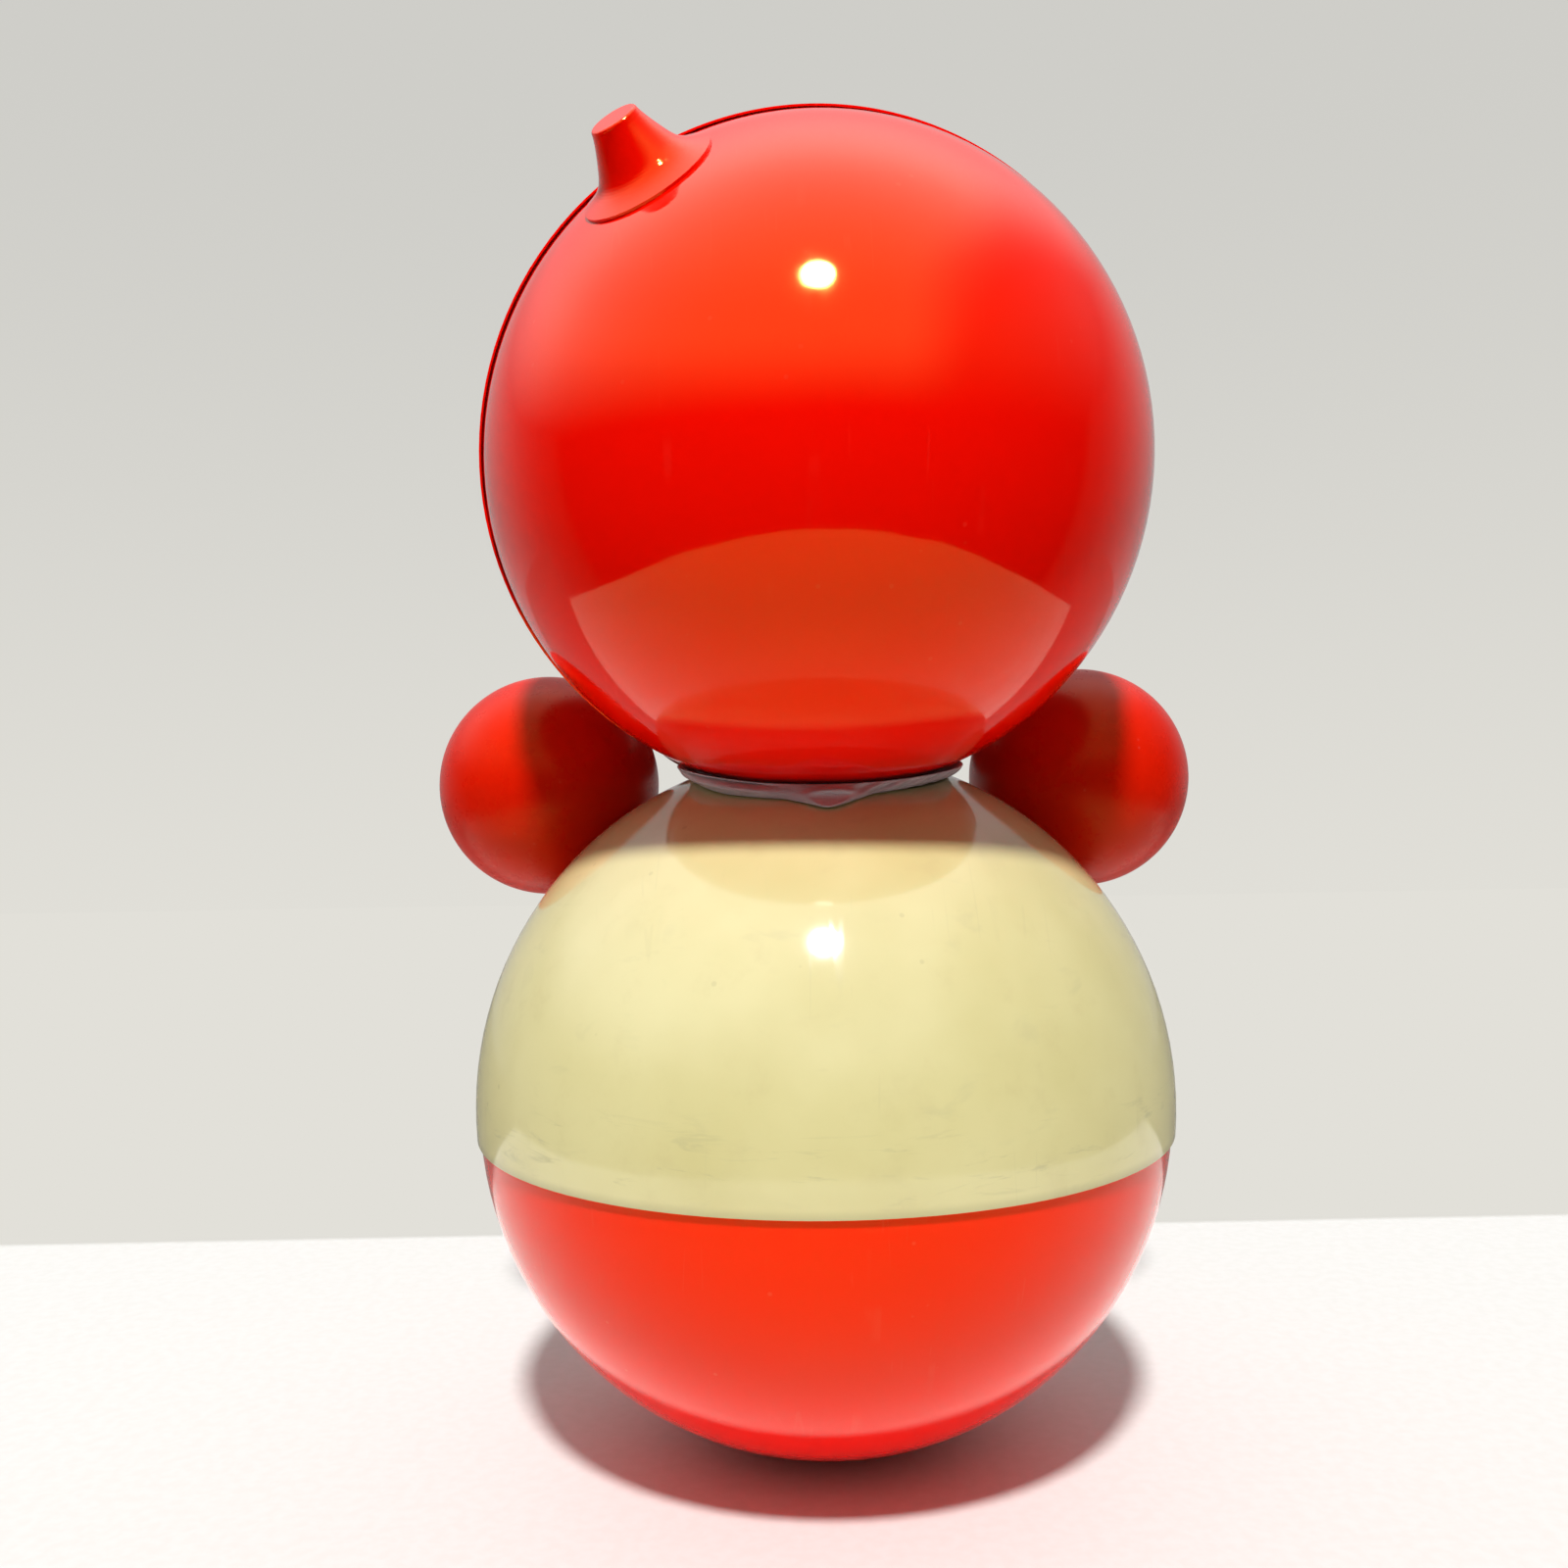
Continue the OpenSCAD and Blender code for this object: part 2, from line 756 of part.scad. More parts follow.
// Disc that strikes the rods
module clapper_disc() {
    edge_r = clapper_r - clapper_chamfer;
    edge_h = clapper_t - clapper_chamfer;
    color(clapper_tan)
        translate([0, 0, clapper_z])
            rotate_extrude()
                polygon([
                    [hang_rod_r + run_fit, 0],
                    [edge_r, 0],
                    [clapper_r, clapper_chamfer],
                    [clapper_r, edge_h],
                    [edge_r, clapper_t],
                    [hang_rod_r + run_fit, clapper_t]
                ]);
}

// Nut under the clapper
module clapper_nut() {
    color(bright_steel)
        translate([0, 0, clapper_z - nut_h])
            hex_nut(hang_rod_r + run_fit);
}

// Washer on the deck that the head turns on
module neck_washer() {
    color(nylon_white)
        in_neck()
            translate([0, 0, deck_up])
                tube(neck_r + run_fit + neck_washer_w, neck_r + run_fit, neck_gap - run_fit);
}

// Open clip in the neck tube's groove, which keeps the head from lifting off
module neck_clip() {
    clip_r = neck_groove_r + run_fit;
    clip_out_r = clip_r + neck_clip_w;
    color(bright_steel)
        in_neck()
            translate([0, 0, neck_clip_up])
                rotate([0, 0, 90 + neck_clip_open / 2])
                    rotate_extrude(angle = 360 - neck_clip_open)
                        translate([clip_r, 0])
                            square([clip_out_r - clip_r, neck_clip_t - run_fit]);
}

// One ring of the ribbon's folded band: along the deck and the dome, then back under the head
function ribbon_ring(a) =
    let (
        dip = ribbon_dip * pow(max(0, sin(a)), dip_sharpness),
        low_r = ribbon_r + ribbon_fold * sin(a * ribbon_turns) + dip,
        high_r = ribbon_r - ribbon_fold * (1 + cos(a * ribbon_waves)) / 2,
        waist_r = ribbon_r - ribbon_fold * (1 + edge_share * sin(a * ribbon_waves)) + dip * dip_share,
        tuck_r = (ribbon_in_r + ribbon_r) / 2,
        skirt_r = (tuck_r + low_r) / 2,
        lift = ribbon_fold * edge_share * (1 + cos(a * ribbon_turns)) / 2,
        press = ribbon_fold * edge_share * (1 + sin(a * ribbon_waves)) / 2,
        low_z = dome_top(low_r) + ribbon_gap + lift,
        high_z = head_under(high_r) - ribbon_gap - press,
        mid_z = (low_z + high_z) / 2,
        section = [
            [ribbon_in_r, deck_up + ribbon_gap],
            [tuck_r, dome_top(tuck_r) + ribbon_gap],
            [skirt_r, dome_top(skirt_r) + ribbon_gap],
            [low_r, low_z],
            [(low_r + waist_r) / 2, (low_z + mid_z) / 2],
            [waist_r, mid_z],
            [(high_r + waist_r) / 2, (high_z + mid_z) / 2],
            [high_r, high_z],
            [tuck_r, head_cut_up - ribbon_gap - press],
            [ribbon_in_r, head_cut_up - ribbon_gap]
        ]
    )
    [for (p = section) [p[0] * cos(a), p[0] * sin(a), p[1]]];

// Folded band of ribbon in the crease of the neck
module neck_ribbon() {
    color(ribbon_white)
        in_neck()
            loft([for (i = [0:ribbon_steps - 1]) ribbon_ring(360 * i / ribbon_steps)], closed = true);
}

// One ring of a bow's loop: pinched at the knot, swelling outwards, with folds running along it
function loop_ring(t) =
    let (
        swell = blend(pinch_share, 1, sin(90 * min(1, t / (1 - pinch_share)))),
        close = sqrt(1 - pow(t, 4) * (1 - crimp_share)),
        x = blend(knot_w * root_share, bow_reach, t),
        y = knot_y + bow_forward * t,
        half_d = bow_depth / 2 * swell * close,
        near_r = sqrt(pow(x, 2) + pow(y - half_d, 2)),
        half_h = min(bow_h / 2 * swell * close, crease_room(near_r) - bow_droop * t),
        crimp = crimp_share * (1 - t)
    )
    [for (j = [0:bow_sides - 1])
        let (a = 360 * j / bow_sides, ripple = 1 - crimp * (1 + cos(a * loop_folds)) / 2)
        [x, half_d * ripple * sin(a) - y, crease_mid(near_r) - bow_droop * t + half_h * ripple * cos(a)]];

// One ring of a tail that lies in waves down the front of the dome
function tail_ring(t) =
    let (
        start = asin(dome_top(knot_y) / dome_r),
        slope = start - t * tail_len / dome_r * 180 / PI,
        lift_r = dome_r + ribbon_gap + tail_t + tail_wave * (1 + sin(t * tail_waves)) / 2,
        x = blend(knot_w * root_share, tail_spread, t),
        half_w = tail_w / 2 * blend(pinch_share, 1, sin(90 * min(1, 2 * t)))
    )
    [for (j = [0:bow_sides - 1])
        let (
            a = 360 * j / bow_sides,
            side = x + half_w * sin(a),
            out_r = lift_r + tail_t / 2 * (cos(a) + sin(a)),
            flat_r = sqrt(pow(out_r, 2) - pow(side, 2))
        )
        [side, -flat_r * cos(slope), flat_r * sin(slope)]];

// One ring of the bow's knot
function knot_ring(t) =
    let (
        swell = blend(pinch_share, 1, sin(180 * t)),
        x = -knot_w / 2 * cos(180 * t),
        half_h = crease_room(knot_y) * knot_share
    )
    [for (j = [0:bow_sides - 1])
        let (a = 360 * j / bow_sides)
        [x, knot_depth / 2 * swell * sin(a) - knot_y, crease_mid(knot_y) + half_h * swell * cos(a)]];

// Bow at the front: a knot, two loops and two tails
module ribbon_bow() {
    color(ribbon_white)
        in_neck() {
            loft([for (i = [0:bow_steps]) knot_ring(i / bow_steps)]);
            for (side = [0, 1])
                mirror([side, 0, 0]) {
                    loft([for (i = [0:bow_steps]) loop_ring(i / bow_steps)]);
                    loft([for (i = [0:tail_steps]) tail_ring(i / tail_steps)]);
                }
        }
}

// The flat cut above the neck, through both shells of the head, and the bore for the bush
module neck_cut() {
    translate([0, 0, -front_r - overrun])
        cylinder(r = front_r + overrun, h = head_cut_up - head_up + front_r + overrun);
    translate([0, 0, -front_r - overrun])
        cylinder(r = bush_r + cement_gap, h = bush_up + bush_h - head_up + front_r + overrun);
}

// A slab across the head between two distances behind its centre
module back_slab(low, high) {
    rotate([-90, 0, 0])
        slab(front_r, low, high);
}

// Back of the head, with a spigot inside the front shell and the hole for the tip's stem
module head_back_shell() {
    color(gloss_red)
        difference() {
            in_head() {
                intersection() {
                    shell(head_r, head_in_r);
                    back_slab(lip_end, front_r);
                }
                intersection() {
                    shell(head_spigot_r, head_spigot_r - head_spigot_t);
                    back_slab(lip_end - head_spigot_h, lip_end + head_spigot_h);
                }
            }
            at_head()
                neck_cut();
            at_tip()
                cylinder(r = tip_stem_r + run_fit, h = front_r + overrun);
        }
}

// Front of the head, whose lip covers the joint, with the rolled rim round the face
module head_front_shell() {
    color(gloss_red)
        difference() {
            in_head()
                difference() {
                    union() {
                        intersection() {
                            shell(front_r, front_in_r);
                            back_slab(-front_r, part_back);
                        }
                        rotate([90, 0, 0])
                            translate([0, 0, face_bead_y])
                                rotate_extrude()
                                    translate([face_open_r + face_bead_r, 0])
                                        circle(r = face_bead_r);
                    }
                    intersection() {
                        sphere(head_r + lip_gap);
                        back_slab(lip_end - cement_gap, part_back + overrun);
                    }
                    rotate([90, 0, 0])
                        cylinder(r = face_open_r, h = front_r + overrun);
                }
            at_head()
                neck_cut();
        }
}

// Bush cemented in the head, which runs on the neck tube
module head_neck_bush() {
    color(nylon_white)
        difference() {
            at_head() {
                translate([0, 0, bush_up - head_up])
                    cylinder(r = bush_r, h = bush_h);
                intersection() {
                    shell(bush_seat_r, bush_seat_r - bush_flange_t);
                    translate([0, 0, bush_up - head_up])
                        cylinder(r = bush_flange_r, h = head_up - bush_up);
                }
            }
            in_neck()
                translate([0, 0, bush_up - overrun])
                    cylinder(r = neck_r + run_fit, h = bush_h + 2 * overrun);
        }
}

// Face set in the opening, with a small nose and a grooved mouth
module face_plate() {
    color(face_cream)
        difference() {
            union() {
                in_head()
                    rotate([90, 0, 0]) {
                        intersection() {
                            shell(face_r, face_in_r);
                            cylinder(r = face_fit_r, h = front_r + overrun);
                        }
                        intersection() {
                            shell(front_in_r - cement_gap, face_in_r);
                            cylinder(r = face_open_r + face_flange_w, h = front_r + overrun);
                        }
                    }
                on_face(0, -nose_down)
                    translate([0, 0, face_r + nose_proud - nose_r])
                        sphere(nose_r);
            }
            for (side = [-1, 1])
                on_face(side * eye_side, eye_up)
                    cylinder(r = eye_stem_r + run_fit, h = front_r + overrun);
            on_face(0, -mouth_down)
                translate([0, 0, mouth_y])
                    rotate([0, 0, -90 - mouth_spread / 2])
                        rotate_extrude(angle = mouth_spread)
                            translate([mouth_r, 0])
                                circle(r = mouth_groove_r);
            in_head()
                sphere(face_in_r);
        }
}

// Domed eye with a stem through the face; side is 1 for the left eye
module eye(side) {
    color(eye_black)
        on_face(side * eye_side, eye_up) {
            difference() {
                translate([0, 0, face_r + eye_proud - eye_ball_r])
                    sphere(eye_ball_r);
                sphere(face_r + run_fit, $fn = fine_sides);
            }
            translate([0, 0, face_in_r - eye_stem_h])
                cylinder(r = eye_stem_r, h = face_t + eye_stem_h + eye_proud / 2);
        }
}

module left_eye() {
    eye(1);
}

module right_eye() {
    eye(-1);
}

// Height of the flange's top, at a radius from the tip's axis
function tip_seat(r) = sqrt(pow(head_r + tip_flange_t, 2) - pow(r, 2));

// Side of the tip, upwards: the foot turns out into a thin flange that follows the head
function tip_side() =
    let (rise = tip_top_z - tip_edge_r - tip_seat(tip_top_r))
    [for (i = [0:tip_steps])
        let (
            up = pow(i / tip_steps, 2),
            stub_r = blend(tip_top_r, tip_base_r, pow(1 - up, tip_hollow)),
            r = stub_r + (tip_flange_r - tip_base_r) * pow(1 - up, tip_turn_out)
        )
        [r, tip_seat(r) + rise * up]];

// Rounded edge of the tip's end
function tip_edge() = [for (i = [1:tip_edge_steps])
    let (a = 90 * i / tip_edge_steps)
    [tip_top_r - tip_edge_r * (1 - cos(a)), tip_top_z - tip_edge_r * (1 - sin(a))]];

// Flared tip with a thin flange, held by its stem
module hood_tip() {
    color(gloss_red)
        at_tip() {
            difference() {
                rotate_extrude()
                    polygon(concat(
                        [[0, head_in_r], [tip_flange_r, head_in_r]],
                        tip_side(),
                        tip_edge(),
                        [[0, tip_top_z]]
                    ));
                sphere(head_r + run_fit);
            }
            translate([0, 0, tip_nut_z - tip_nut_t])
                cylinder(r = tip_stem_r, h = head_r + tip_flange_t - tip_nut_z + tip_nut_t);
        }
}

// Push nut on the tip's stem, inside the head
module tip_nut() {
    color(bright_steel)
        at_tip()
            translate([0, 0, tip_nut_z])
                tube(tip_nut_r, tip_stem_r + run_fit, tip_nut_t);
}

// Hollow ball with a plug that turns in the shoulder; side is 1 for the left arm
module arm(side) {
    color(satin_red)
        at_shoulder(side)
            difference() {
                union() {
                    difference() {
                        translate([0, 0, arm_to_body])
                            sphere(arm_r);
                        difference() {
                            translate([0, 0, arm_to_body])
                                sphere(arm_r - arm_t);
                            sphere(arm_seat_r + arm_t);
                        }
                        sphere(arm_seat_r);
                    }
                    translate([0, 0, plug_end_r - plug_flange_t])
                        cylinder(r = plug_r, h = arm_seat_r + arm_t / 2 - plug_end_r + plug_flange_t);
                    translate([0, 0, plug_end_r - plug_flange_t])
                        cylinder(r = plug_flange_r, h = plug_flange_t);
                }
                translate([0, 0, plug_end_r - plug_flange_t - overrun])
                    cylinder(r = plug_bore_r, h = arm_to_body - plug_end_r);
            }
}

module left_arm() {
    arm(1);
}

module right_arm() {
    arm(-1);
}

lower_bowl();
upper_dome();
ballast_weight();
chime_base();
base_washer();
base_screw();
for (i = [1:rod_count])
    chime_rod(i);
bridge_post_left();
bridge_post_right();
bridge_bar();
bridge_nuts();
pendulum_link();
pendulum_rod();
clapper_disc();
clapper_nut();
neck_washer();
neck_clip();
neck_ribbon();
ribbon_bow();
head_back_shell();
head_front_shell();
head_neck_bush();
face_plate();
left_eye();
right_eye();
hood_tip();
tip_nut();
left_arm();
right_arm();
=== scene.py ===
import json
import math
from functools import reduce

import bpy
import numpy as np
from mathutils import Matrix, Vector


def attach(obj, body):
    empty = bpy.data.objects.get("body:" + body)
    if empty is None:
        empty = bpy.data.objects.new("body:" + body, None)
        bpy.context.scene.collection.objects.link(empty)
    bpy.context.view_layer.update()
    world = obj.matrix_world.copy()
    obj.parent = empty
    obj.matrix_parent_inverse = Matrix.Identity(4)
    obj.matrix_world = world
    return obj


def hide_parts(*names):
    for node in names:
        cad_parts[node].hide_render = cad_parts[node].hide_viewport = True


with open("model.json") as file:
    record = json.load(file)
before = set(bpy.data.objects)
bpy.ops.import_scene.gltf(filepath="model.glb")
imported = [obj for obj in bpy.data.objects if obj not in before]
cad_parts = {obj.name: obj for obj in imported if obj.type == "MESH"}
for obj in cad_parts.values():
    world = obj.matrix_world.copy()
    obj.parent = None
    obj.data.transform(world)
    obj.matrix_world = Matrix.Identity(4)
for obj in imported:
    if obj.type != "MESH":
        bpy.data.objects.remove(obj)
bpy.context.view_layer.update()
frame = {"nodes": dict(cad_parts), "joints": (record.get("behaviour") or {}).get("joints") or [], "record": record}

# Finishes, ribbon, bow and setting of the roly poly toy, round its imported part
MM = 0.001
scene = bpy.context.scene
scene.view_settings.view_transform = "Standard"
nodes = frame["nodes"]
joints = {joint["name"]: joint for joint in frame["joints"]}

# Sizes of the part that the dressing follows, in millimetres and degrees
BODY_UP = 76.0453
DOME_R = 77.5
DECK_R = 28.0
DECK_UP = 72.2651
HEAD_CUT_UP = 74.3651
HEAD_UP = 139.991
FRONT_R = 71.6
ARM_R = 26.7
NECK_LEAN = 6.0
HEAD_TURN = 4.7
HEAD_TILT = 9.0



def raised(height):
    return Matrix.Translation((0, 0, height))


def turned(angle, axis):
    return Matrix.Rotation(math.radians(angle), 4, axis)


neck_frame = raised(BODY_UP) @ turned(-NECK_LEAN, "X")
head_frame = neck_frame @ raised(HEAD_UP) @ turned(HEAD_TURN, "Z") @ turned(-HEAD_TILT, "X")
head_centre = Vector(joints["head_turn"]["pos_m"])
arm_centres = [Vector(joints[name]["pos_m"]) / MM for name in ("left_arm_turn", "right_arm_turn")]


def tone(code):
    """A colour written as #rrggbb, as the linear values that a shader takes."""
    parts = [int(code[i:i + 2], 16) / 255 for i in (1, 3, 5)]
    return tuple(c / 12.92 if c <= 0.04045 else ((c + 0.055) / 1.055) ** 2.4 for c in parts) + (1.0,)


# Camera: place in metres, angles in radians, film and lens in millimetres
CAMERA_AT = (0.01313, 0.35408, 0.15520)
CAMERA_TURN = -0.0144
CAMERA_NOD = -0.0251
CAMERA_ROLL = -0.0152
FILM_W = 36
LENS = 36.045
NEAR_CLIP = 0.01


def place_camera():
    """Looks at the toy's back: turned aside, nodded down and rolled a little."""
    ahead = Vector((math.sin(CAMERA_TURN), -math.cos(CAMERA_TURN), 0))
    right = Vector((-math.cos(CAMERA_TURN), -math.sin(CAMERA_TURN), 0))
    up = Vector((0, 0, 1))
    look = ahead * math.cos(CAMERA_NOD) + up * math.sin(CAMERA_NOD)
    crown = up * math.cos(CAMERA_NOD) - ahead * math.sin(CAMERA_NOD)
    side = right * math.cos(CAMERA_ROLL) + crown * math.sin(CAMERA_ROLL)
    top = crown * math.cos(CAMERA_ROLL) - right * math.sin(CAMERA_ROLL)
    camera = bpy.data.objects.new("camera", bpy.data.cameras.new("camera"))
    camera.data.sensor_width = FILM_W
    camera.data.lens = LENS
    camera.data.clip_start = NEAR_CLIP
    facing = Matrix((side, top, -look)).transposed().to_4x4()
    camera.matrix_world = Matrix.Translation(CAMERA_AT) @ facing
    scene.collection.objects.link(camera)
    scene.camera = camera


place_camera()


class Wire:
    """One socket in a finish. Arithmetic on it adds Math nodes."""

    def __init__(self, finish, socket):
        self.finish = finish
        self.socket = socket

    def math(self, operation, *values):
        return self.finish.add("ShaderNodeMath", {"operation": operation}, dict(enumerate(values)))

    def __add__(self, other):
        return self.math("ADD", self, other)

    def __sub__(self, other):
        return self.math("SUBTRACT", self, other)

    def __rsub__(self, other):
        return self.math("SUBTRACT", other, self)

    def __mul__(self, other):
        return self.math("MULTIPLY", self, other)

    def __truediv__(self, other):
        return self.math("DIVIDE", self, other)

    def __rtruediv__(self, other):
        return self.math("DIVIDE", other, self)

    def __pow__(self, other):
        return self.math("POWER", self, other)

    def __abs__(self):
        return self.math("ABSOLUTE", self)

    __radd__ = __add__
    __rmul__ = __mul__

    def most(self, other):
        return self.math("MAXIMUM", self, other)

    def least(self, other):
        return self.math("MINIMUM", self, other)

    def sine(self):
        return self.math("SINE", self)

    def rise(self, low, high):
        """0 below low, 1 above high, smooth between; falls where low is above high."""
        return self.finish.add("ShaderNodeMapRange", {"interpolation_type": "SMOOTHSTEP"},
                               {"Value": self, "From Min": low, "From Max": high})


class Finish:
    """The nodes of one material, or of the world."""

    def __init__(self, name, **constants):
        self.material = bpy.data.materials.new(name)
        self.material.use_nodes = True
        self.tree = self.material.node_tree
        self.tree.nodes.clear()
        self.skin = self.tree.nodes.new("ShaderNodeBsdfPrincipled")
        for socket, value in constants.items():
            self.skin.inputs[socket.replace("_", " ")].default_value = value
        self.out = self.tree.nodes.new("ShaderNodeOutputMaterial")
        self.tree.links.new(self.skin.outputs[0], self.out.inputs["Surface"])

    def add(self, kind, settings=None, sockets=None, out=0):
        """Any node, by its type, its settings and what its sockets take."""
        node = self.tree.nodes.new(kind)
        for key, value in (settings or {}).items():
            setattr(node, key, value)
        for key, value in (sockets or {}).items():
            self.join(value, node.inputs[key])
        return Wire(self, node.outputs[out])

    def join(self, value, socket):
        if isinstance(value, Wire):
            self.tree.links.new(value.socket, socket)
        else:
            socket.default_value = value

    def feed(self, **sockets):
        for key, value in sockets.items():
            self.join(value, self.skin.inputs[key.replace("_", " ")])

    def place(self):
        return self.add("ShaderNodeTexCoord", out="Object")

    def stretched(self, turn, scale):
        """The object's place, turned and scaled, for a noise that runs in streaks."""
        sockets = {"Vector": self.place(), "Rotation": turn, "Scale": scale}
        return self.add("ShaderNodeMapping", {}, sockets)

    def grain(self, size, detail=3.0, rough=0.5, at=None, warp=0.0):
        """Noise whose blobs are about size metres across, from 0 to 1."""
        sockets = {"Vector": at or self.place(), "Scale": 1 / size, "Detail": detail,
                   "Roughness": rough, "Distortion": warp}
        return self.add("ShaderNodeTexNoise", {}, sockets)

    def specks(self, size, share):
        """Small round specks in a share of the cells of that size."""
        spot = {"Vector": self.place(), "Scale": 1 / size}
        near = self.add("ShaderNodeTexVoronoi", {}, spot)
        draw = self.add("ShaderNodeTexVoronoi", {}, spot, out="Color")
        pick = self.add("ShaderNodeSeparateXYZ", {}, {0: draw})
        return near.rise(0.22, 0.12) * pick.rise(share, share * 0.9)

    def hairs(self, size, turn, width=0.010):
        """Fine straight scratches: level lines of a long-drawn noise, broken up by a second one."""
        streak = self.grain(size, 1.0, 0.4, self.stretched(turn, (1.0, 0.04, 0.05)))
        lines = abs(streak - 0.5).rise(width, width * 0.3)
        return lines * self.grain(size * 1.6, 2.0).rise(0.58, 0.68)

    def mix(self, share, first, second):
        """A colour between two others."""
        return self.add("ShaderNodeMix", {"data_type": "RGBA"}, {0: share, 6: first, 7: second}, out=2)

    def bump(self, height, depth, strength=1.0, under=None):
        """Relief of a depth in metres, on the plain surface or on another relief under it."""
        sockets = {"Height": height, "Distance": depth, "Strength": strength}
        if under is not None:
            sockets["Normal"] = under
        return self.add("ShaderNodeBump", {}, sockets)

    def axis(self, spot, direction):
        """How far a place lies along a direction."""
        sockets = {0: spot, 1: tuple(direction)}
        return self.add("ShaderNodeVectorMath", {"operation": "DOT_PRODUCT"}, sockets, out="Value")

    def from_point(self, point):
        sockets = {0: self.place(), 1: tuple(point)}
        return self.add("ShaderNodeVectorMath", {"operation": "SUBTRACT"}, sockets)


# Finishes of the moulded shells
PLASTIC_IOR = 1.5
ORANGE_GLOSS = (1.0, 0.92, 0.15, 1.0)
ORANGE_SATIN = (1.0, 0.90, 0.20, 1.0)


def gloss_shell(name, plain, deep, pale, smooth, wear):
    """Glossy moulded plastic: slow drift of colour, rubbed smears, faint hairlines, slight waves."""
    f = Finish(name, IOR=PLASTIC_IOR, Specular_IOR_Level=0.34, Specular_Tint=ORANGE_GLOSS)
    drift = f.grain(45 * MM, 3.0)
    smear = f.grain(13 * MM, 4.0, 0.6, f.stretched((0, 0, 0), (1.0, 1.0, 0.35)), 0.5).rise(0.5, 0.78)
    hairs = f.hairs(8 * MM, (0.4, 0.9, 0.3)).most(f.hairs(11 * MM, (1.3, 0.2, 1.1)))
    dust = f.specks(2.6 * MM, 0.03)
    colour = f.mix(drift.rise(0.35, 0.7) * 0.5, tone(plain), tone(deep))
    colour = f.mix(hairs * (0.012 * wear) + dust * (0.04 * wear), colour, tone(pale))
    wave = f.grain(30 * MM, 1.0)
    peel = f.grain(2.2 * MM, 2.0)
    swell = f.bump(wave, 0.10 * MM)
    skin = f.bump(peel * 0.35 - hairs * 0.04 + dust * 0.15, 0.008 * MM, 0.7, swell)
    rough = smooth + smear * 0.06 * wear + hairs * 0.03 + dust * 0.1
    f.feed(Base_Color=colour, Roughness=rough, Normal=skin)
    return f


# Heights of the marks on the cream shell, in metres: scuffs fade in and out, and the shell is darker along its
# lowest rim, at the parting
SCUFF_FOOT = (70 * MM, 76 * MM)
SCUFF_TOP = (92 * MM, 78 * MM)
DARK_RIM_TOP = (72.6 * MM, 70.6 * MM)


def cream_shell():
    """The cream shell, yellowed unevenly, with handling marks and rubbed scuffs above its rim."""
    f = Finish("aged cream gloss", IOR=PLASTIC_IOR)
    height = f.axis(f.place(), (0, 0, 1))
    drift = f.grain(38 * MM, 3.0)
    cloud = f.grain(9 * MM, 4.0, 0.6)
    colour = f.mix(drift.rise(0.3, 0.75), tone("#d2ca94"), tone("#c8bf86"))
    colour = f.mix(cloud.rise(0.52, 0.8) * 0.22, colour, tone("#b8ab7c"))
    smudge = f.grain(16 * MM, 3.0, 0.6, f.stretched((0, 0, 0), (1.0, 1.0, 2.6)), 0.4)
    smudge = smudge.rise(0.6, 0.76)
    colour = f.mix(smudge * 0.13, colour, tone("#9c987c"))
    rubbed = f.grain(9 * MM, 4.0, 0.65, f.stretched((0, 0, 0), (0.5, 0.5, 3.2)), 0.6)
    rubbed = rubbed.rise(0.57, 0.7) * height.rise(*SCUFF_TOP) * height.rise(*SCUFF_FOOT)
    colour = f.mix(rubbed * 0.30, colour, tone("#8d8a72"))
    hairs = f.hairs(9 * MM, (0.2, 1.2, 0.4)).most(f.hairs(12 * MM, (0.1, 0.2, 1.5)))
    colour = f.mix(hairs * 0.07, colour, tone("#9c957a"))
    dust = f.specks(3.2 * MM, 0.025)
    colour = f.mix(dust * 0.2, colour, tone("#8f8768"))
    # The shell is darker below these heights, along its lowest rim at the parting with the bowl
    dark_rim = height.rise(*DARK_RIM_TOP) * 0.35
    colour = f.mix(dark_rim, colour, tone("#8d8465"))
    swell = f.bump(f.grain(32 * MM, 1.0), 0.10 * MM)
    skin = f.bump(f.grain(2.4 * MM, 2.0) * 0.35 - hairs * 0.12, 0.008 * MM, 0.7, swell)
    rough = 0.09 + cloud.rise(0.45, 0.8) * 0.05 + rubbed * 0.14 + hairs * 0.05
    f.feed(Base_Color=colour, Roughness=rough, Normal=skin)
    return f


def soft_vinyl():
    """Satin vinyl of the ball arms, with fine pores and a rubbed bloom."""
    f = Finish("satin vinyl red", IOR=PLASTIC_IOR, Specular_IOR_Level=0.15, Specular_Tint=ORANGE_SATIN)
    drift = f.grain(20 * MM, 3.0)
    bloom = f.grain(6 * MM, 4.0, 0.6)
    pores = f.grain(0.9 * MM, 3.0, 0.6)
    colour = f.mix(drift.rise(0.35, 0.7), tone("#d41802"), tone("#cc1502"))
    colour = f.mix(bloom.rise(0.55, 0.85) * 0.03, colour, tone("#e05a40"))
    dust = f.specks(2.2 * MM, 0.03)
    colour = f.mix(dust * 0.06, colour, tone("#e0a090"))
    skin = f.bump(pores, 0.012 * MM, 0.5, f.bump(f.grain(12 * MM, 2.0), 0.12 * MM))
    rough = 0.26 + bloom.rise(0.3, 0.8) * 0.08 + dust * 0.1
    f.feed(Base_Color=colour, Roughness=rough, Normal=skin)
    return f


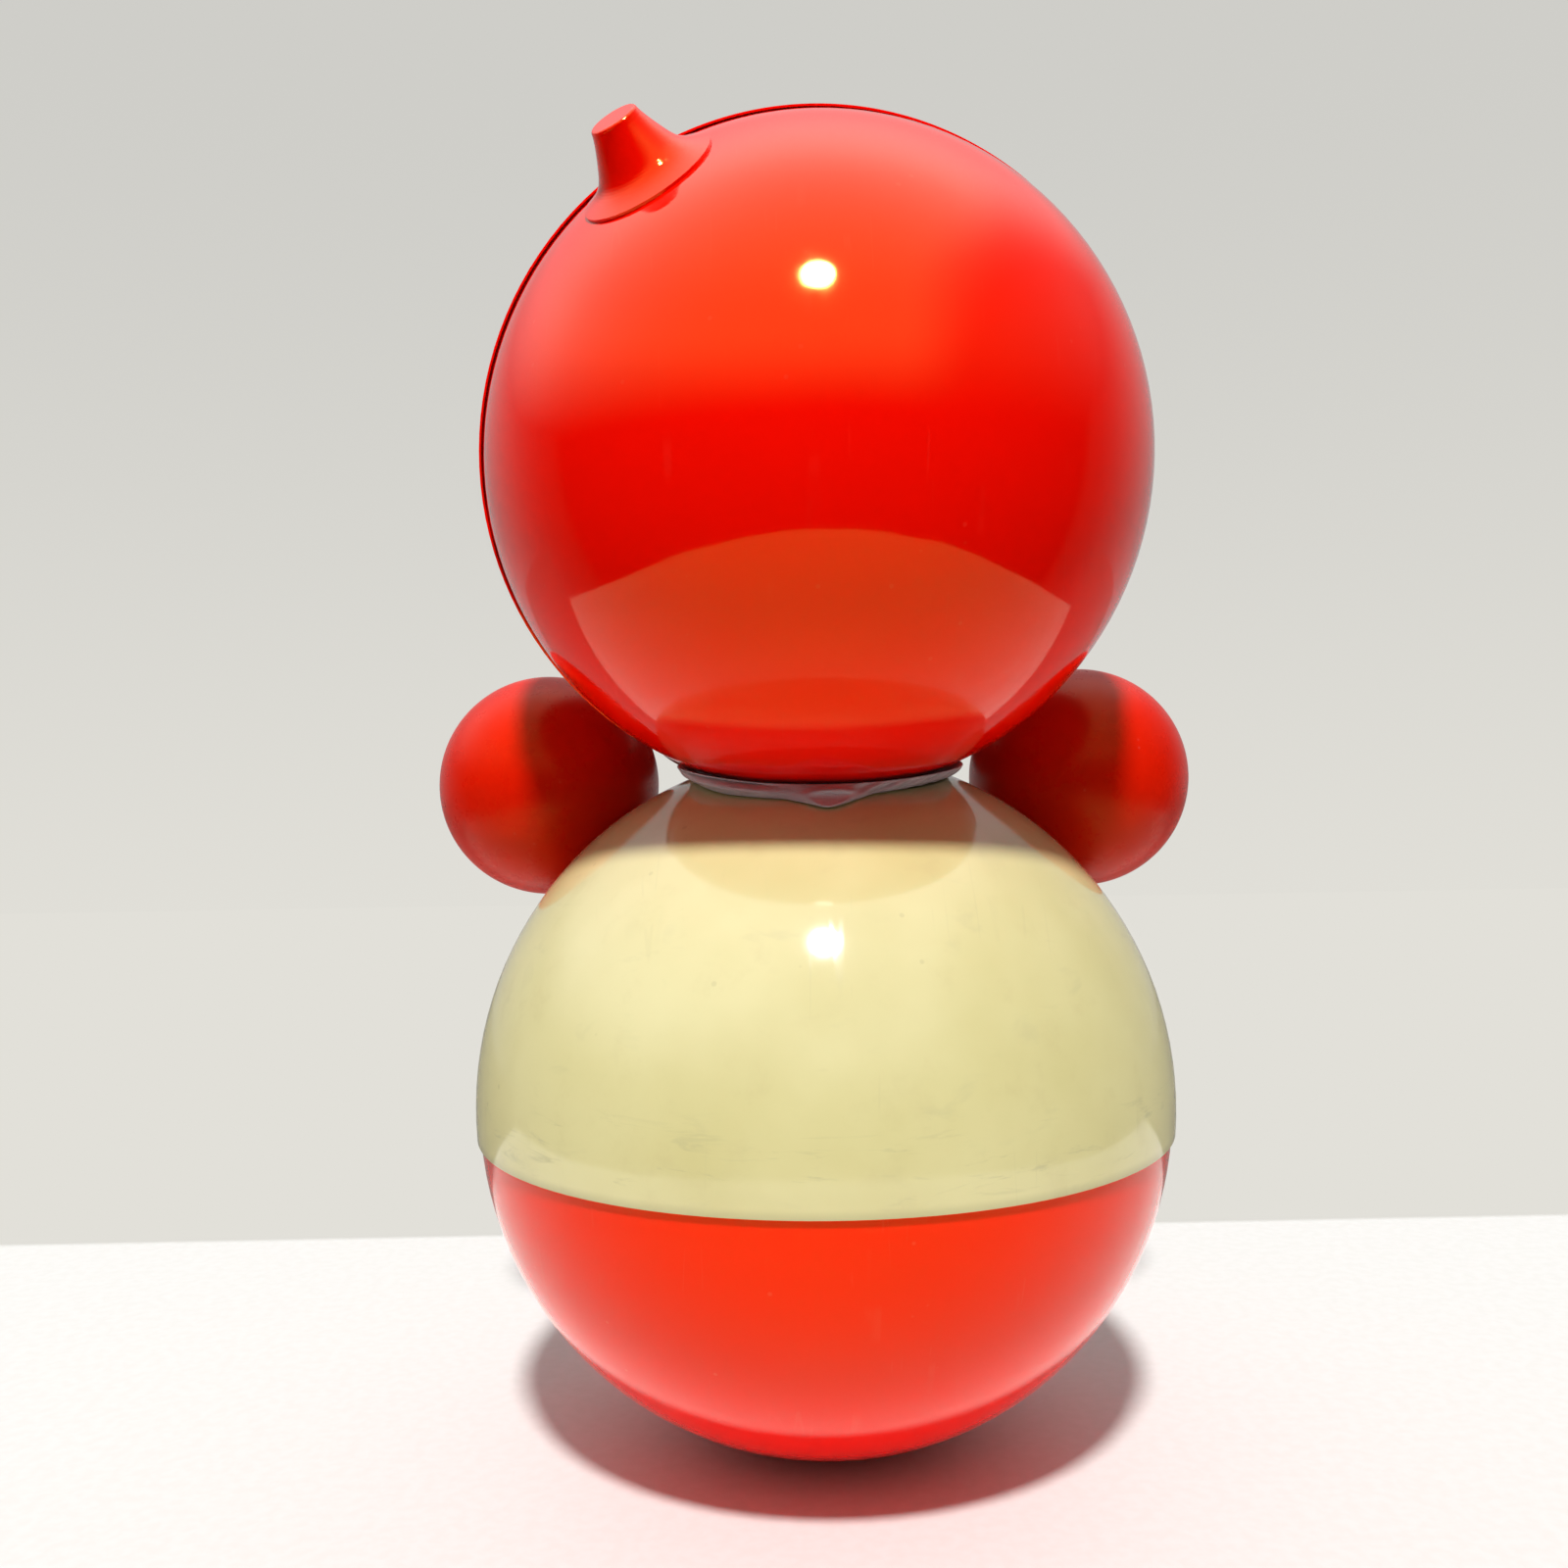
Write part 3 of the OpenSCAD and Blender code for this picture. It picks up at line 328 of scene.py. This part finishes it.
# Painted face and eyes: places in millimetres, to the side and up from the middle of the head
EYE_RING_AT = (16.6, 5.0)
EYE_RING_R = 7.1
EYE_AT = (17.0, 5.1)
GLINTS = ((18.6, 6.9), (-15.4, 6.9))
SMALL_GLINTS = ((15.6, 3.3), (-18.4, 3.3))
LASHES = (((22.2, 9.6), (26.2, 12.0)), ((21.0, 11.0), (24.2, 14.4)), ((19.2, 11.9), (21.0, 15.8)))
LASH_W = 0.62
BROW_AT = (16.0, 0.0)
BROW_R = 18.4
CHEEK_AT = (26.0, -11.0)
NOSE_AT = (0.0, -7.4)
SMILE_AT = (0.0, -8.6)
SMILE_R = 11.0
CURLS = (((0.0, 44.0), 14.05), ((13.0, 42.0), 12.0), ((25.0, 35.0), 10.5), ((34.0, 26.0), 8.5))


def face_places(f):
    """Places on the face, in millimetres: across it, and up."""
    spot = f.from_point(head_centre)
    across = f.axis(spot, head_frame.col[0][:3]) / MM
    up = f.axis(spot, head_frame.col[2][:3]) / MM
    return across, up


def distance(across, up, point):
    return ((across - point[0]) ** 2.0 + (up - point[1]) ** 2.0) ** 0.5


def dots(across, up, places, outer, inner):
    """Round painted dots, full within the inner radius and gone beyond the outer one."""
    return reduce(Wire.most, [distance(across, up, place).rise(outer, inner) for place in places])


def stroke(across, up, start, end, width):
    """A painted stroke from one point to another, thinner at its end."""
    run = (end[0] - start[0], end[1] - start[1])
    length = run[0] ** 2 + run[1] ** 2
    along = ((across - start[0]) * run[0] + (up - start[1]) * run[1]) / length
    along = along.most(0.0).least(1.0)
    away = distance(across - along * run[0], up - along * run[1], start)
    return (away - (1.0 - along * 0.7) * width).rise(0.22, -0.22)


def painted_face():
    """A plain doll face in gloss paint: blush, nose, smile, brows, lashes and a hair line of curls."""
    f = Finish("painted face gloss", IOR=PLASTIC_IOR)
    across, up = face_places(f)
    side = abs(across)
    drift = f.grain(30 * MM, 3.0)
    colour = f.mix(drift.rise(0.35, 0.7), tone("#f3d3b4"), tone("#efc9a8"))
    blush = distance(side, up, CHEEK_AT).rise(12.0, 2.0)
    colour = f.mix(blush * 0.55, colour, tone("#e8806a"))
    nose = distance(side, up, NOSE_AT).rise(3.6, 1.0)
    colour = f.mix(nose * 0.35, colour, tone("#e59a80"))
    wobble = f.grain(5 * MM, 2.0) * 0.5
    lips = abs(distance(across, up, SMILE_AT) - SMILE_R + wobble * 0.4)
    lips = lips.rise(1.7, 1.3) * up.rise(-16.0, -17.4)
    colour = f.mix(lips, colour, tone("#c2322c"))
    brow = abs(distance(side, up, BROW_AT) - BROW_R)
    brow = (brow - (up - 13.0) * 0.16).rise(0.35, -0.1) * up.rise(12.6, 13.6)
    lash = abs(distance(side, up, EYE_RING_AT) - EYE_RING_R).rise(0.75, 0.45) * up.rise(5.6, 7.2)
    for start, end in LASHES:
        lash = lash.most(stroke(side, up, start, end, LASH_W))
    curls = [dots(side, up, [centre], reach + 0.15, reach - 0.15) for centre, reach in CURLS]
    hair_line = reduce(Wire.most, curls)
    strands = f.grain(1.6 * MM, 3.0, 0.6, f.stretched((0.0, 0.0, 0.0), (1.0, 0.2, 0.25)))
    hair = f.mix(strands.rise(0.3, 0.7), tone("#5b3317"), tone("#7c4a22"))
    colour = f.mix(hair_line, colour, hair)
    colour = f.mix(brow.most(lash), colour, tone("#2c190f"))
    scratch = f.hairs(16 * MM, (0.6, 0.3, 0.2))
    colour = f.mix(scratch * 0.12, colour, tone("#cdb295"))
    paint = lips.most(brow).most(lash).most(hair_line)
    swell = f.bump(f.grain(26 * MM, 1.0), 0.08 * MM)
    skin = f.bump(paint * 0.6 + f.grain(1.8 * MM, 2.0) * 0.15 - scratch * 0.3, 0.03 * MM, 0.6, swell)
    rough = 0.13 + paint * 0.1 + scratch * 0.1 + drift * 0.04
    f.feed(Base_Color=colour, Roughness=rough, Normal=skin)
    return f


def painted_eye():
    """Black domed eye with a dark brown iris and two painted catchlights."""
    f = Finish("black eye gloss", IOR=PLASTIC_IOR)
    across, up = face_places(f)
    away = distance(abs(across), up, EYE_AT)
    ring = f.grain(1.2 * MM, 3.0, 0.6)
    iris = f.mix(ring.rise(0.3, 0.7), tone("#3a2010"), tone("#5c3519"))
    colour = f.mix(away.rise(4.3, 3.9), tone("#140f0d"), iris)
    colour = f.mix(away.rise(2.5, 2.2), colour, tone("#080606"))
    glint = dots(across, up, GLINTS, 1.25, 1.0)
    small = dots(across, up, SMALL_GLINTS, 0.65, 0.45)
    colour = f.mix(glint.most(small), colour, tone("#efe9df"))
    f.feed(Base_Color=colour, Roughness=0.06 + ring * 0.05 + glint * 0.1)
    return f


# Ribbon cloth: pitches of its threads, in metres
WARP_PITCH = 0.32 * MM
WEFT_PITCH = 0.55 * MM


def satin_ribbon():
    """Thin white satin ribbon, coloured a greyed mauve as painted shade with a red cast of bounced light: fine
    warp along it, soft creases darkened as painted shade, and a little ageing.
    """
    f = Finish("white satin ribbon", Sheen_Weight=0.25, Sheen_Roughness=0.4, IOR=1.45)
    along = f.add("ShaderNodeAttribute", {"attribute_name": "along"}, {}, out="Fac")
    over = f.add("ShaderNodeAttribute", {"attribute_name": "over"}, {}, out="Fac")
    warp = (over * (2 * math.pi / WARP_PITCH)).sine()
    weft = (along * (2 * math.pi / WEFT_PITCH)).sine()
    crease = f.grain(2.6 * MM, 4.0, 0.6, warp=0.6)
    age = f.grain(11 * MM, 3.0)
    # Greyed mauve tones, darker than the white cloth: painted shade with a red cast of bounced light
    colour = f.mix(age.rise(0.35, 0.75), tone("#c8b4b5"), tone("#b5a0a3"))
    # Darker on the creases: painted shade
    colour = f.mix(crease.rise(0.62, 0.8) * 0.3, colour, tone("#95838a"))
    colour = f.mix((warp * 0.5 + 0.5) * 0.06, colour, tone("#8f8086"))
    skin = f.bump(warp * 0.4 + weft * 0.2, 0.02 * MM, 0.5, f.bump(crease, 0.25 * MM, 0.6))
    f.feed(Base_Color=colour, Roughness=0.42 + crease * 0.2, Normal=skin)
    return f


# Metals and plastics of the chime inside
def metal(name, bright, dull, smooth, streaks, grain_size, depth):
    """Bare metal with a cast or drawn grain, dulled in patches."""
    f = Finish(name, IOR=PLASTIC_IOR)
    lines = f.grain(0.8 * MM, 3.0, 0.6, f.stretched((0, 0, 0), streaks))
    cast = f.grain(grain_size, 4.0, 0.6)
    colour = f.mix(cast.rise(0.35, 0.75), tone(bright), tone(dull))
    skin = f.bump(cast * 0.7 + lines * 0.3, depth, 0.6)
    bare = 1.0 - cast.rise(0.7, 0.9) * 0.3
    f.feed(Base_Color=colour, Metallic=bare, Roughness=smooth + lines * 0.15 + cast * 0.1, Normal=skin)
    return f


def plain_moulding(name, light, dark, rough):
    """Matt moulded plastic with a fine grain."""
    f = Finish(name, IOR=PLASTIC_IOR)
    drift = f.grain(8 * MM, 3.0)
    fine = f.grain(0.7 * MM, 3.0, 0.6)
    colour = f.mix(drift.rise(0.35, 0.7), tone(light), tone(dark))
    f.feed(Base_Color=colour, Roughness=rough + fine * 0.12, Normal=f.bump(fine, 0.02 * MM, 0.5))
    return f


finishes = {
    "bowl_red": gloss_shell("red gloss bowl", "#f00b02", "#ea0901", "#f4b09f", 0.10, 1.4),
    "body_cream": cream_shell(),
    "head_red": gloss_shell("red gloss head", "#fe0900", "#f80800", "#f6a58e", 0.06, 0.8),
    "arm_vinyl": soft_vinyl(),
    "ribbon": satin_ribbon(),
    "face": painted_face(),
    "eye": painted_eye(),
    "ballast_iron": metal("cast iron", "#55565a", "#3b3c40", 0.5, (1, 1, 1), 1.6 * MM, 0.15 * MM),
    "die_cast": metal("die-cast zinc", "#a9adb0", "#8d9194", 0.38, (1, 1, 1), 1.0 * MM, 0.05 * MM),
    "steel": metal("bright drawn steel", "#c9ccd0", "#a9adb2", 0.2, (1, 1, 0.06), 3.0 * MM, 0.02 * MM),
    "nylon": plain_moulding("white nylon", "#ecebe4", "#dedccf", 0.35),
    "clapper": plain_moulding("tan hard plastic", "#c9b184", "#b79c6c", 0.4),
}
for row in frame["record"]["subparts"]:
    mesh = nodes[row["node"]].data
    mesh.materials.clear()
    mesh.materials.append(finishes[row["material_slot"]].material)


# Cloth in the crease of the neck: sizes and gaps in millimetres
CLOTH_THICK = 0.25
BAND_R = 29.0
TUCK_R = 22.2
DOME_GAP = 0.4
HEAD_GAP = 0.19
BAND_CLEAR = 0.17
BOW_CLEAR = 0.45
KNOT_CLEAR = 0.35
NECK_MARGIN = 1.5


def dome_top(r):
    return np.where(r < DECK_R, DECK_UP, np.sqrt(DOME_R ** 2 - r ** 2))


def head_under(r):
    return np.maximum(HEAD_CUT_UP, HEAD_UP - np.sqrt(FRONT_R ** 2 - r ** 2))


def clear_of_shells(points, gap):
    """Pushes points, in the neck's frame, out of the dome, the head and the arms."""
    inverse = neck_frame.inverted()
    balls = [(Vector((0, 0, 0)), DOME_R), (Vector((0, 0, HEAD_UP)), FRONT_R)]
    balls += [(inverse @ centre, ARM_R) for centre in arm_centres]
    for centre, radius in balls:
        away = points - np.array(centre)
        length = np.linalg.norm(away, axis=-1, keepdims=True)
        wide = np.hypot(points[..., 0], points[..., 1])[..., None]
        inside = (length < radius + gap) & (wide > DECK_R - NECK_MARGIN)
        points = np.where(inside, np.array(centre) + away / length * (radius + gap), points)
    return points


def cloth(name, points, along, over, closed=False):
    """A sheet from a grid of points in the neck's frame, with the two measures of its weave."""
    rows, cols = points.shape[:2]
    flat = points.reshape(-1, 3)
    place = np.array(neck_frame)
    world = (flat @ place[:3, :3].T + place[:3, 3]) * MM
    last = rows if closed else rows - 1
    faces = [(i * cols + j, i * cols + j + 1, (i + 1) % rows * cols + j + 1, (i + 1) % rows * cols + j)
             for i in range(last) for j in range(cols - 1)]
    mesh = bpy.data.meshes.new(name)
    mesh.from_pydata(world.tolist(), [], faces)
    for key, values in (("along", along), ("over", over)):
        layer = mesh.attributes.new(key, "FLOAT", "POINT")
        spread = np.broadcast_to(values, (rows, cols)) * MM
        layer.data.foreach_set("value", spread.astype(np.float32).ravel())
    mesh.polygons.foreach_set("use_smooth", [True] * len(faces))
    piece = bpy.data.objects.new(name, mesh)
    scene.collection.objects.link(piece)
    mesh.materials.append(finishes["ribbon"].material)
    soften = piece.modifiers.new("soften", "SUBSURF")
    soften.levels = soften.render_levels = 1
    body = piece.modifiers.new("thickness", "SOLIDIFY")
    body.thickness = CLOTH_THICK * MM
    body.offset = 0
    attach(piece, "body")
    return piece


def edge_radius(edge, angle):
    """The radius of an edge of the band at angles round the neck."""
    pairs = np.array(edge)
    return np.interp(angle, pairs[:, 0], pairs[:, 1])


def hump(x, centre, width):
    return np.exp(-((x - centre) / width) ** 2)


def between(x, start, full, fade, end):
    """Climbs from 0 at start to 1 at full, and falls from fade to 0 at end."""
    return np.clip((x - start) / (full - start), 0, 1) * np.clip((end - x) / (end - fade), 0, 1)


# The band's lower edge lies on the dome and its upper edge under the head: angle from the back, radius
LOW_EDGE = [(-180, 28.8), (-150, 29.3), (-120, 28.6), (-90, 28.0), (-56, 27.2), (-32, 28.4), (-20, 29.0),
            (-10.4, 31.1), (-5.6, 32.3), (-0.2, 33.5), (6.7, 32.1), (15.6, 30.6), (24, 30.4), (43, 30.1),
            (67, 28.5), (90, 28.5), (120, 29.2), (150, 28.7), (180, 28.8)]
HIGH_EDGE = [(-180, 29.2), (-140, 29.6), (-90, 31.0), (-60, 31.5), (-40, 30.6), (-20, 29.6), (0, 29.3),
             (25, 29.5), (45, 31.0), (65, 32.2), (90, 31.4), (140, 29.6), (180, 29.2)]
BAND_STEPS = 360
BAND_ROWS = 22
HEM_ROWS = 6


def band_folds(turn, share):
    """How far the crumpled band stands out, at angles round the neck and shares of its height."""
    belly = 0.35 * np.sin(np.pi * share)
    groove = 1.1 * hump(share, 0.84, 0.11) * between(turn, 18, 30, 64, 78)
    ridge = 0.75 * hump(share, 0.45, 0.2) * between(turn, 12, 27, 60, 90)
    twist = np.cos(2 * np.pi * (turn / 11.5 - (1 - share) * 0.95))
    strand = np.sign(twist) * np.abs(twist) ** 0.8 * np.sin(np.pi * np.clip(share * 0.9 + 0.08, 0, 1))
    rope = 0.62 * between(-turn, 7, 13, 70, 95) * strand
    almond = np.sqrt(((turn + 1.5) / 8.6) ** 2 + ((share - 0.40) / 0.36) ** 2)
    pucker = 0.8 * hump(almond, 1.0, 0.28) - 0.6 * hump(almond, 0.0, 0.6)
    front = np.clip((np.abs(turn) - 80) / 20, 0, 1)
    ripple = 0.3 * front * np.sin(np.radians(turn * 9) + share * 4) * np.sin(np.pi * share)
    return belly - groove + ridge + rope + pucker + ripple


def neck_band():
    """The ribbon round the neck: a hem on the dome, a crumpled face and a tuck under the head."""
    angle = np.linspace(-180, 180, BAND_STEPS, endpoint=False)
    low_r = edge_radius(LOW_EDGE, angle)
    high_r = edge_radius(HIGH_EDGE, angle)
    for _ in range(3):
        low_r = (np.roll(low_r, 1) + low_r * 2 + np.roll(low_r, -1)) / 4
        high_r = (np.roll(high_r, 2) + high_r * 2 + np.roll(high_r, -2)) / 4
    low_z = dome_top(low_r) + DOME_GAP
    high_z = head_under(high_r) - HEAD_GAP
    low_r, high_r, low_z, high_z, turn = (row[:, None] for row in (low_r, high_r, low_z, high_z, angle))
    share = np.linspace(0, 1, BAND_ROWS)[None, :]
    face_r = low_r * (1 - share) + high_r * share + band_folds(turn, share)
    face_z = low_z * (1 - share) + high_z * share
    inward = np.linspace(0, 1, HEM_ROWS + 1)[None, :]
    hem_r = TUCK_R + (low_r - TUCK_R) * inward[:, :-1]
    tuck_r = high_r + (TUCK_R - high_r) * inward[:, 1:]
    r = np.concatenate([hem_r, face_r, tuck_r], axis=1)
    z = np.concatenate([dome_top(hem_r) + DOME_GAP, face_z, head_under(tuck_r) - HEAD_GAP], axis=1)
    around = np.radians(turn)
    points = np.stack([r * np.sin(around), r * np.cos(around), z], axis=-1)
    points = clear_of_shells(points, BAND_CLEAR)
    steps = np.linalg.norm(np.diff(points, axis=1), axis=-1).mean(axis=0)
    across = np.concatenate([[0], np.cumsum(steps)])
    piece = cloth("neck_ribbon_cloth", points, BAND_R * around, across[None, :], closed=True)
    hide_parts("neck_ribbon")


# Sizes of the bow, in millimetres
KNOT_Y = 34.75
KNOT_W = 11.0
KNOT_DEPTH = 9.0
BOW_H = 17.0
BOW_REACH = 38.5
BOW_FORWARD = 19.0
BOW_LIFT = 3.0
BOW_DEPTH = 9.0
TAIL_W = 14.0
TAIL_LEN = 44.0
TAIL_SPREAD = 15.0
PINCH = 0.42
ROOT = KNOT_W * 0.3
LOOP_GRID = (56, 17)
TAIL_GRID = (48, 15)
KNOT_GRID = (40, 19)


def crease_mid(r):
    """The height midway between the dome and the head."""
    return (dome_top(r) + head_under(r)) / 2


def crease_room(r):
    """The room above and below that height."""
    return (head_under(r) - dome_top(r)) / 2 - DOME_GAP


def measured(points):
    """Lengths along a grid's rows and across its columns, from its own middle lines."""
    mid = points.shape[1] // 2
    down = np.linalg.norm(np.diff(points[:, mid], axis=0), axis=-1)
    aside = np.linalg.norm(np.diff(points, axis=1), axis=-1).max(axis=0)
    return tuple(np.concatenate([[0], np.cumsum(steps)]) for steps in (down, aside))


def bow_loop(name, side):
    """A loop of ribbon: out in front, round its end and back behind, pleated where the knot pinches it."""
    turn = np.linspace(0.02, 0.98, LOOP_GRID[0])[:, None] * np.pi
    v = np.linspace(-1, 1, LOOP_GRID[1])[None, :]
    t = np.sin(turn) ** 0.85
    front = np.sign(np.cos(turn)) * np.abs(np.cos(turn)) ** 0.55
    swell = PINCH + (1 - PINCH) * np.sin(np.pi / 2 * np.minimum(1, t / (1 - PINCH)))
    end = np.sqrt(1 - t ** 4 * 0.72)
    x = ROOT + (BOW_REACH - ROOT) * t
    y = KNOT_Y + BOW_FORWARD * t
    half_d = BOW_DEPTH / 2 * swell * end
    near = np.sqrt(x ** 2 + (y - half_d) ** 2)
    lift = BOW_LIFT * t ** 2
    half_h = np.minimum(BOW_H / 2 * swell * np.sqrt(1 - t ** 4 * 0.45), crease_room(near) + lift)
    pleat = (1 - t) ** 1.2 * 0.9 * np.cos(v * 2.6 * np.pi) + 0.35 * np.sin(v * 4 + t * 5) * t * (1 - t)
    depth = half_d * front + pleat * np.where(np.cos(turn) > 0, 1, -1) * 0.8
    bow_out = 0.9 * t * (1 - v ** 2) * front
    height = crease_mid(near) + lift + half_h * v * (1 - 0.10 * (1 - t)) + 0.4 * t * np.sin(v * 3)
    points = np.stack([side * (x + 0 * v), -(y + depth + bow_out), height], axis=-1)
    points = clear_of_shells(points, BOW_CLEAR)
    along, over = measured(points)
    piece = cloth(name, points, along[:, None], over[None, :])
    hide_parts("ribbon_bow")


def bow_tail(name, side):
    """A tail of ribbon that lies in waves down the front of the dome and ends in a slanting cut."""
    run = np.linspace(0, 1, TAIL_GRID[0])[:, None]
    v = np.linspace(-1, 1, TAIL_GRID[1])[None, :]
    t = run * (1 - 0.13 * (1 + v) / 2)
    start = math.asin(float(dome_top(np.array(KNOT_Y))) / DOME_R)
    slope = start - t * TAIL_LEN / DOME_R
    wave = 0.55 * (1 + np.sin(t * 7.0 + 0.5 * side)) + 0.35 * np.sin(v * 2.4 + t * 6) * (0.3 + t)
    lift = DOME_R + 0.95 + wave + 0.5 * v ** 2 * t
    half_w = TAIL_W / 2 * (PINCH + (1 - PINCH) * np.sin(np.pi / 2 * np.minimum(1, 2 * t)))
    pleat = np.clip(1 - t * 2.6, 0, 1) * 0.5 * np.cos(v * 2.5 * np.pi)
    across = ROOT + (TAIL_SPREAD - ROOT) * t + half_w * v
    flat_r = np.sqrt((lift + pleat) ** 2 - across ** 2)
    points = np.stack([side * across, -flat_r * np.cos(slope), flat_r * np.sin(slope)], axis=-1)
    points = clear_of_shells(points, BOW_CLEAR)
    along, over = measured(points)
    piece = cloth(name, points, along[:, None], over[None, :])
    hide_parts("ribbon_bow")


def bow_knot():
    """The band wrapped round the middle of the bow, with its folds running round it."""
    a = np.linspace(0, 2 * np.pi, KNOT_GRID[0], endpoint=False)[:, None]
    t = np.linspace(0, 1, KNOT_GRID[1])[None, :]
    swell = 0.66 + 0.34 * np.sin(np.pi * t) ** 0.8
    folds = 0.05 * np.cos(t * 7 * np.pi + 0.6 * np.sin(a)) + 0.03 * np.sin(3 * a + 5 * t)
    half_h = float(crease_room(np.array(KNOT_Y))) * 0.8
    size = swell + folds
    x = -KNOT_W / 2 * np.cos(np.pi * t) + 0.3 * np.sin(a * 2)
    points = np.stack([x + 0 * a, -(KNOT_Y - KNOT_DEPTH / 2 * size * np.sin(a)),
                       float(crease_mid(np.array(KNOT_Y))) + half_h * size * np.cos(a)], axis=-1)
    points = clear_of_shells(points, KNOT_CLEAR)
    steps = np.linalg.norm(points - np.roll(points, 1, axis=0), axis=-1).mean(axis=1)
    _, over = measured(points)
    piece = cloth("bow_knot_cloth", points, np.cumsum(steps)[:, None], over[None, :], closed=True)
    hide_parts("ribbon_bow")


neck_band()
for word, side in (("left", 1), ("right", -1)):
    bow_loop("bow_loop_" + word, side)
    bow_tail("bow_tail_" + word, side)
bow_knot()


# Floor, surround and lamps: places in metres
BACKDROP = tone("#e2e0d9")
FLOOR_OUTLINE = [(1.0, -1.2), (0.95, -0.30), (0.472, -0.171), (0.344, 0.141), (0.278, 0.263), (0.174, 0.361),
                 (0.09, 0.402), (0.016, 0.414), (-0.06, 0.411), (-0.127, 0.392), (-0.243, 0.311),
                 (-0.301, 0.222), (-0.363, 0.077), (-0.439, -0.166), (-0.95, -0.30), (-1.0, -1.2)]
FLOOR_END = (-0.142, -0.146)
MIRRORED_BACKDROP = 0.4
SUN_AT = (0.046, 0.770, 1.430)
SUN_AIM = (0.0, 0.02, 0.14)
SUN_POWER = 4.1
SUN_WIDTH = 5.5
GLINT_AT = (0.0053, 0.2727, 0.4665)
GLINT_AIM = (0.0, 0.04, 0.14)
GLINT_POWER = 2.2
GLINT_SIZE = 0.052


def pale_floor():
    """A pale floor that ends in front of the camera; behind the toy it goes over into the backdrop."""
    mesh = bpy.data.meshes.new("table_top")
    mesh.from_pydata([(x, y, 0) for x, y in FLOOR_OUTLINE], [], [tuple(range(len(FLOOR_OUTLINE)))])
    piece = bpy.data.objects.new("table_top", mesh)
    scene.collection.objects.link(piece)
    f = Finish("pale floor", Roughness=0.5)
    depth = f.axis(f.place(), (0, 1, 0))
    fleck = f.grain(3 * MM, 3.0)
    seen = f.add("ShaderNodeLightPath", out="Is Camera Ray")
    flecked = f.mix(fleck.rise(0.3, 0.7), tone("#dad9d6"), tone("#d6d5d1"))
    f.feed(Base_Color=f.mix(seen, tone("#efeeeb"), flecked))
    dim = f.add("ShaderNodeEmission", {}, {"Color": BACKDROP, "Strength": MIRRORED_BACKDROP})
    full = f.add("ShaderNodeEmission", {}, {"Color": BACKDROP, "Strength": 1.0})
    behind = f.add("ShaderNodeMixShader", {}, {0: seen, 1: dim, 2: full})
    floor = Wire(f, f.skin.outputs[0])
    whole = f.add("ShaderNodeMixShader", {}, {0: depth.rise(*FLOOR_END), 1: floor, 2: behind})
    f.join(whole, f.out.inputs["Surface"])
    mesh.materials.append(f.material)


class Surround(Finish):
    """The world: a pale backdrop for the camera, light overhead for the gloss, an even light for the rest."""

    def __init__(self):
        world = bpy.data.worlds.new("surround")
        world.use_nodes = True
        self.tree = world.node_tree
        self.tree.nodes.clear()
        out = self.tree.nodes.new("ShaderNodeOutputWorld")
        way = self.add("ShaderNodeTexCoord", out="Generated")
        aside = self.axis(way, (1, 0, 0))
        ahead = self.axis(way, (0, 1, 0))
        up = self.axis(way, (0, 0, 1))
        backdrop = self.mix(up.rise(-0.2, 0.4), BACKDROP, tone("#cfcec9"))
        back = ahead.rise(-0.02, -0.16) * (0.12 + ahead.rise(-0.1, -0.75) * 0.34)
        overhead = up.rise(0.10, 0.55) * 2.0 + up.rise(0.6, 0.97) * 0.6
        overhead = overhead * (0.25 + ahead.rise(-0.85, -0.2) * 0.75)
        dark_side = aside.rise(-0.38, -0.75) * up.rise(0.95, 0.75) * 0.8
        mirrored = (0.02 + overhead * (1.0 - dark_side)).most(back)
        even = 0.07 + up.rise(0.1, 0.7) * 0.20 + ahead.rise(0.1, -0.6) * 0.30 + aside * 0.03
        seen = self.add("ShaderNodeLightPath", out="Is Camera Ray")
        gloss = self.add("ShaderNodeLightPath", out="Is Glossy Ray")
        strength = self.add("ShaderNodeMix", {}, {0: gloss, 2: even, 3: mirrored})
        pale = self.add("ShaderNodeBackground", {}, {"Color": backdrop, "Strength": 1.0})
        glow = self.add("ShaderNodeBackground", {}, {"Color": (1, 1, 1, 1), "Strength": strength})
        both = self.add("ShaderNodeMixShader", {}, {0: seen, 1: glow, 2: pale})
        self.join(both, out.inputs["Surface"])
        scene.world = world


def lamps():
    """A far lamp that casts the shadows, and a near one that only the gloss shows."""
    far = bpy.data.lights.new("far_lamp", "SUN")
    far.energy = SUN_POWER
    far.angle = math.radians(SUN_WIDTH)
    near = bpy.data.lights.new("glint_lamp", "AREA")
    near.shape = "DISK"
    near.size = GLINT_SIZE
    near.energy = GLINT_POWER
    for light, spot, aim in ((far, SUN_AT, SUN_AIM), (near, GLINT_AT, GLINT_AIM)):
        piece = bpy.data.objects.new(light.name, light)
        turn = (Vector(aim) - Vector(spot)).to_track_quat("-Z", "Y").to_matrix().to_4x4()
        piece.matrix_world = Matrix.Translation(spot) @ turn
        piece.visible_camera = False
        piece.visible_glossy = light is near
        piece.visible_diffuse = light is far
        scene.collection.objects.link(piece)


pale_floor()
Surround()
lamps()
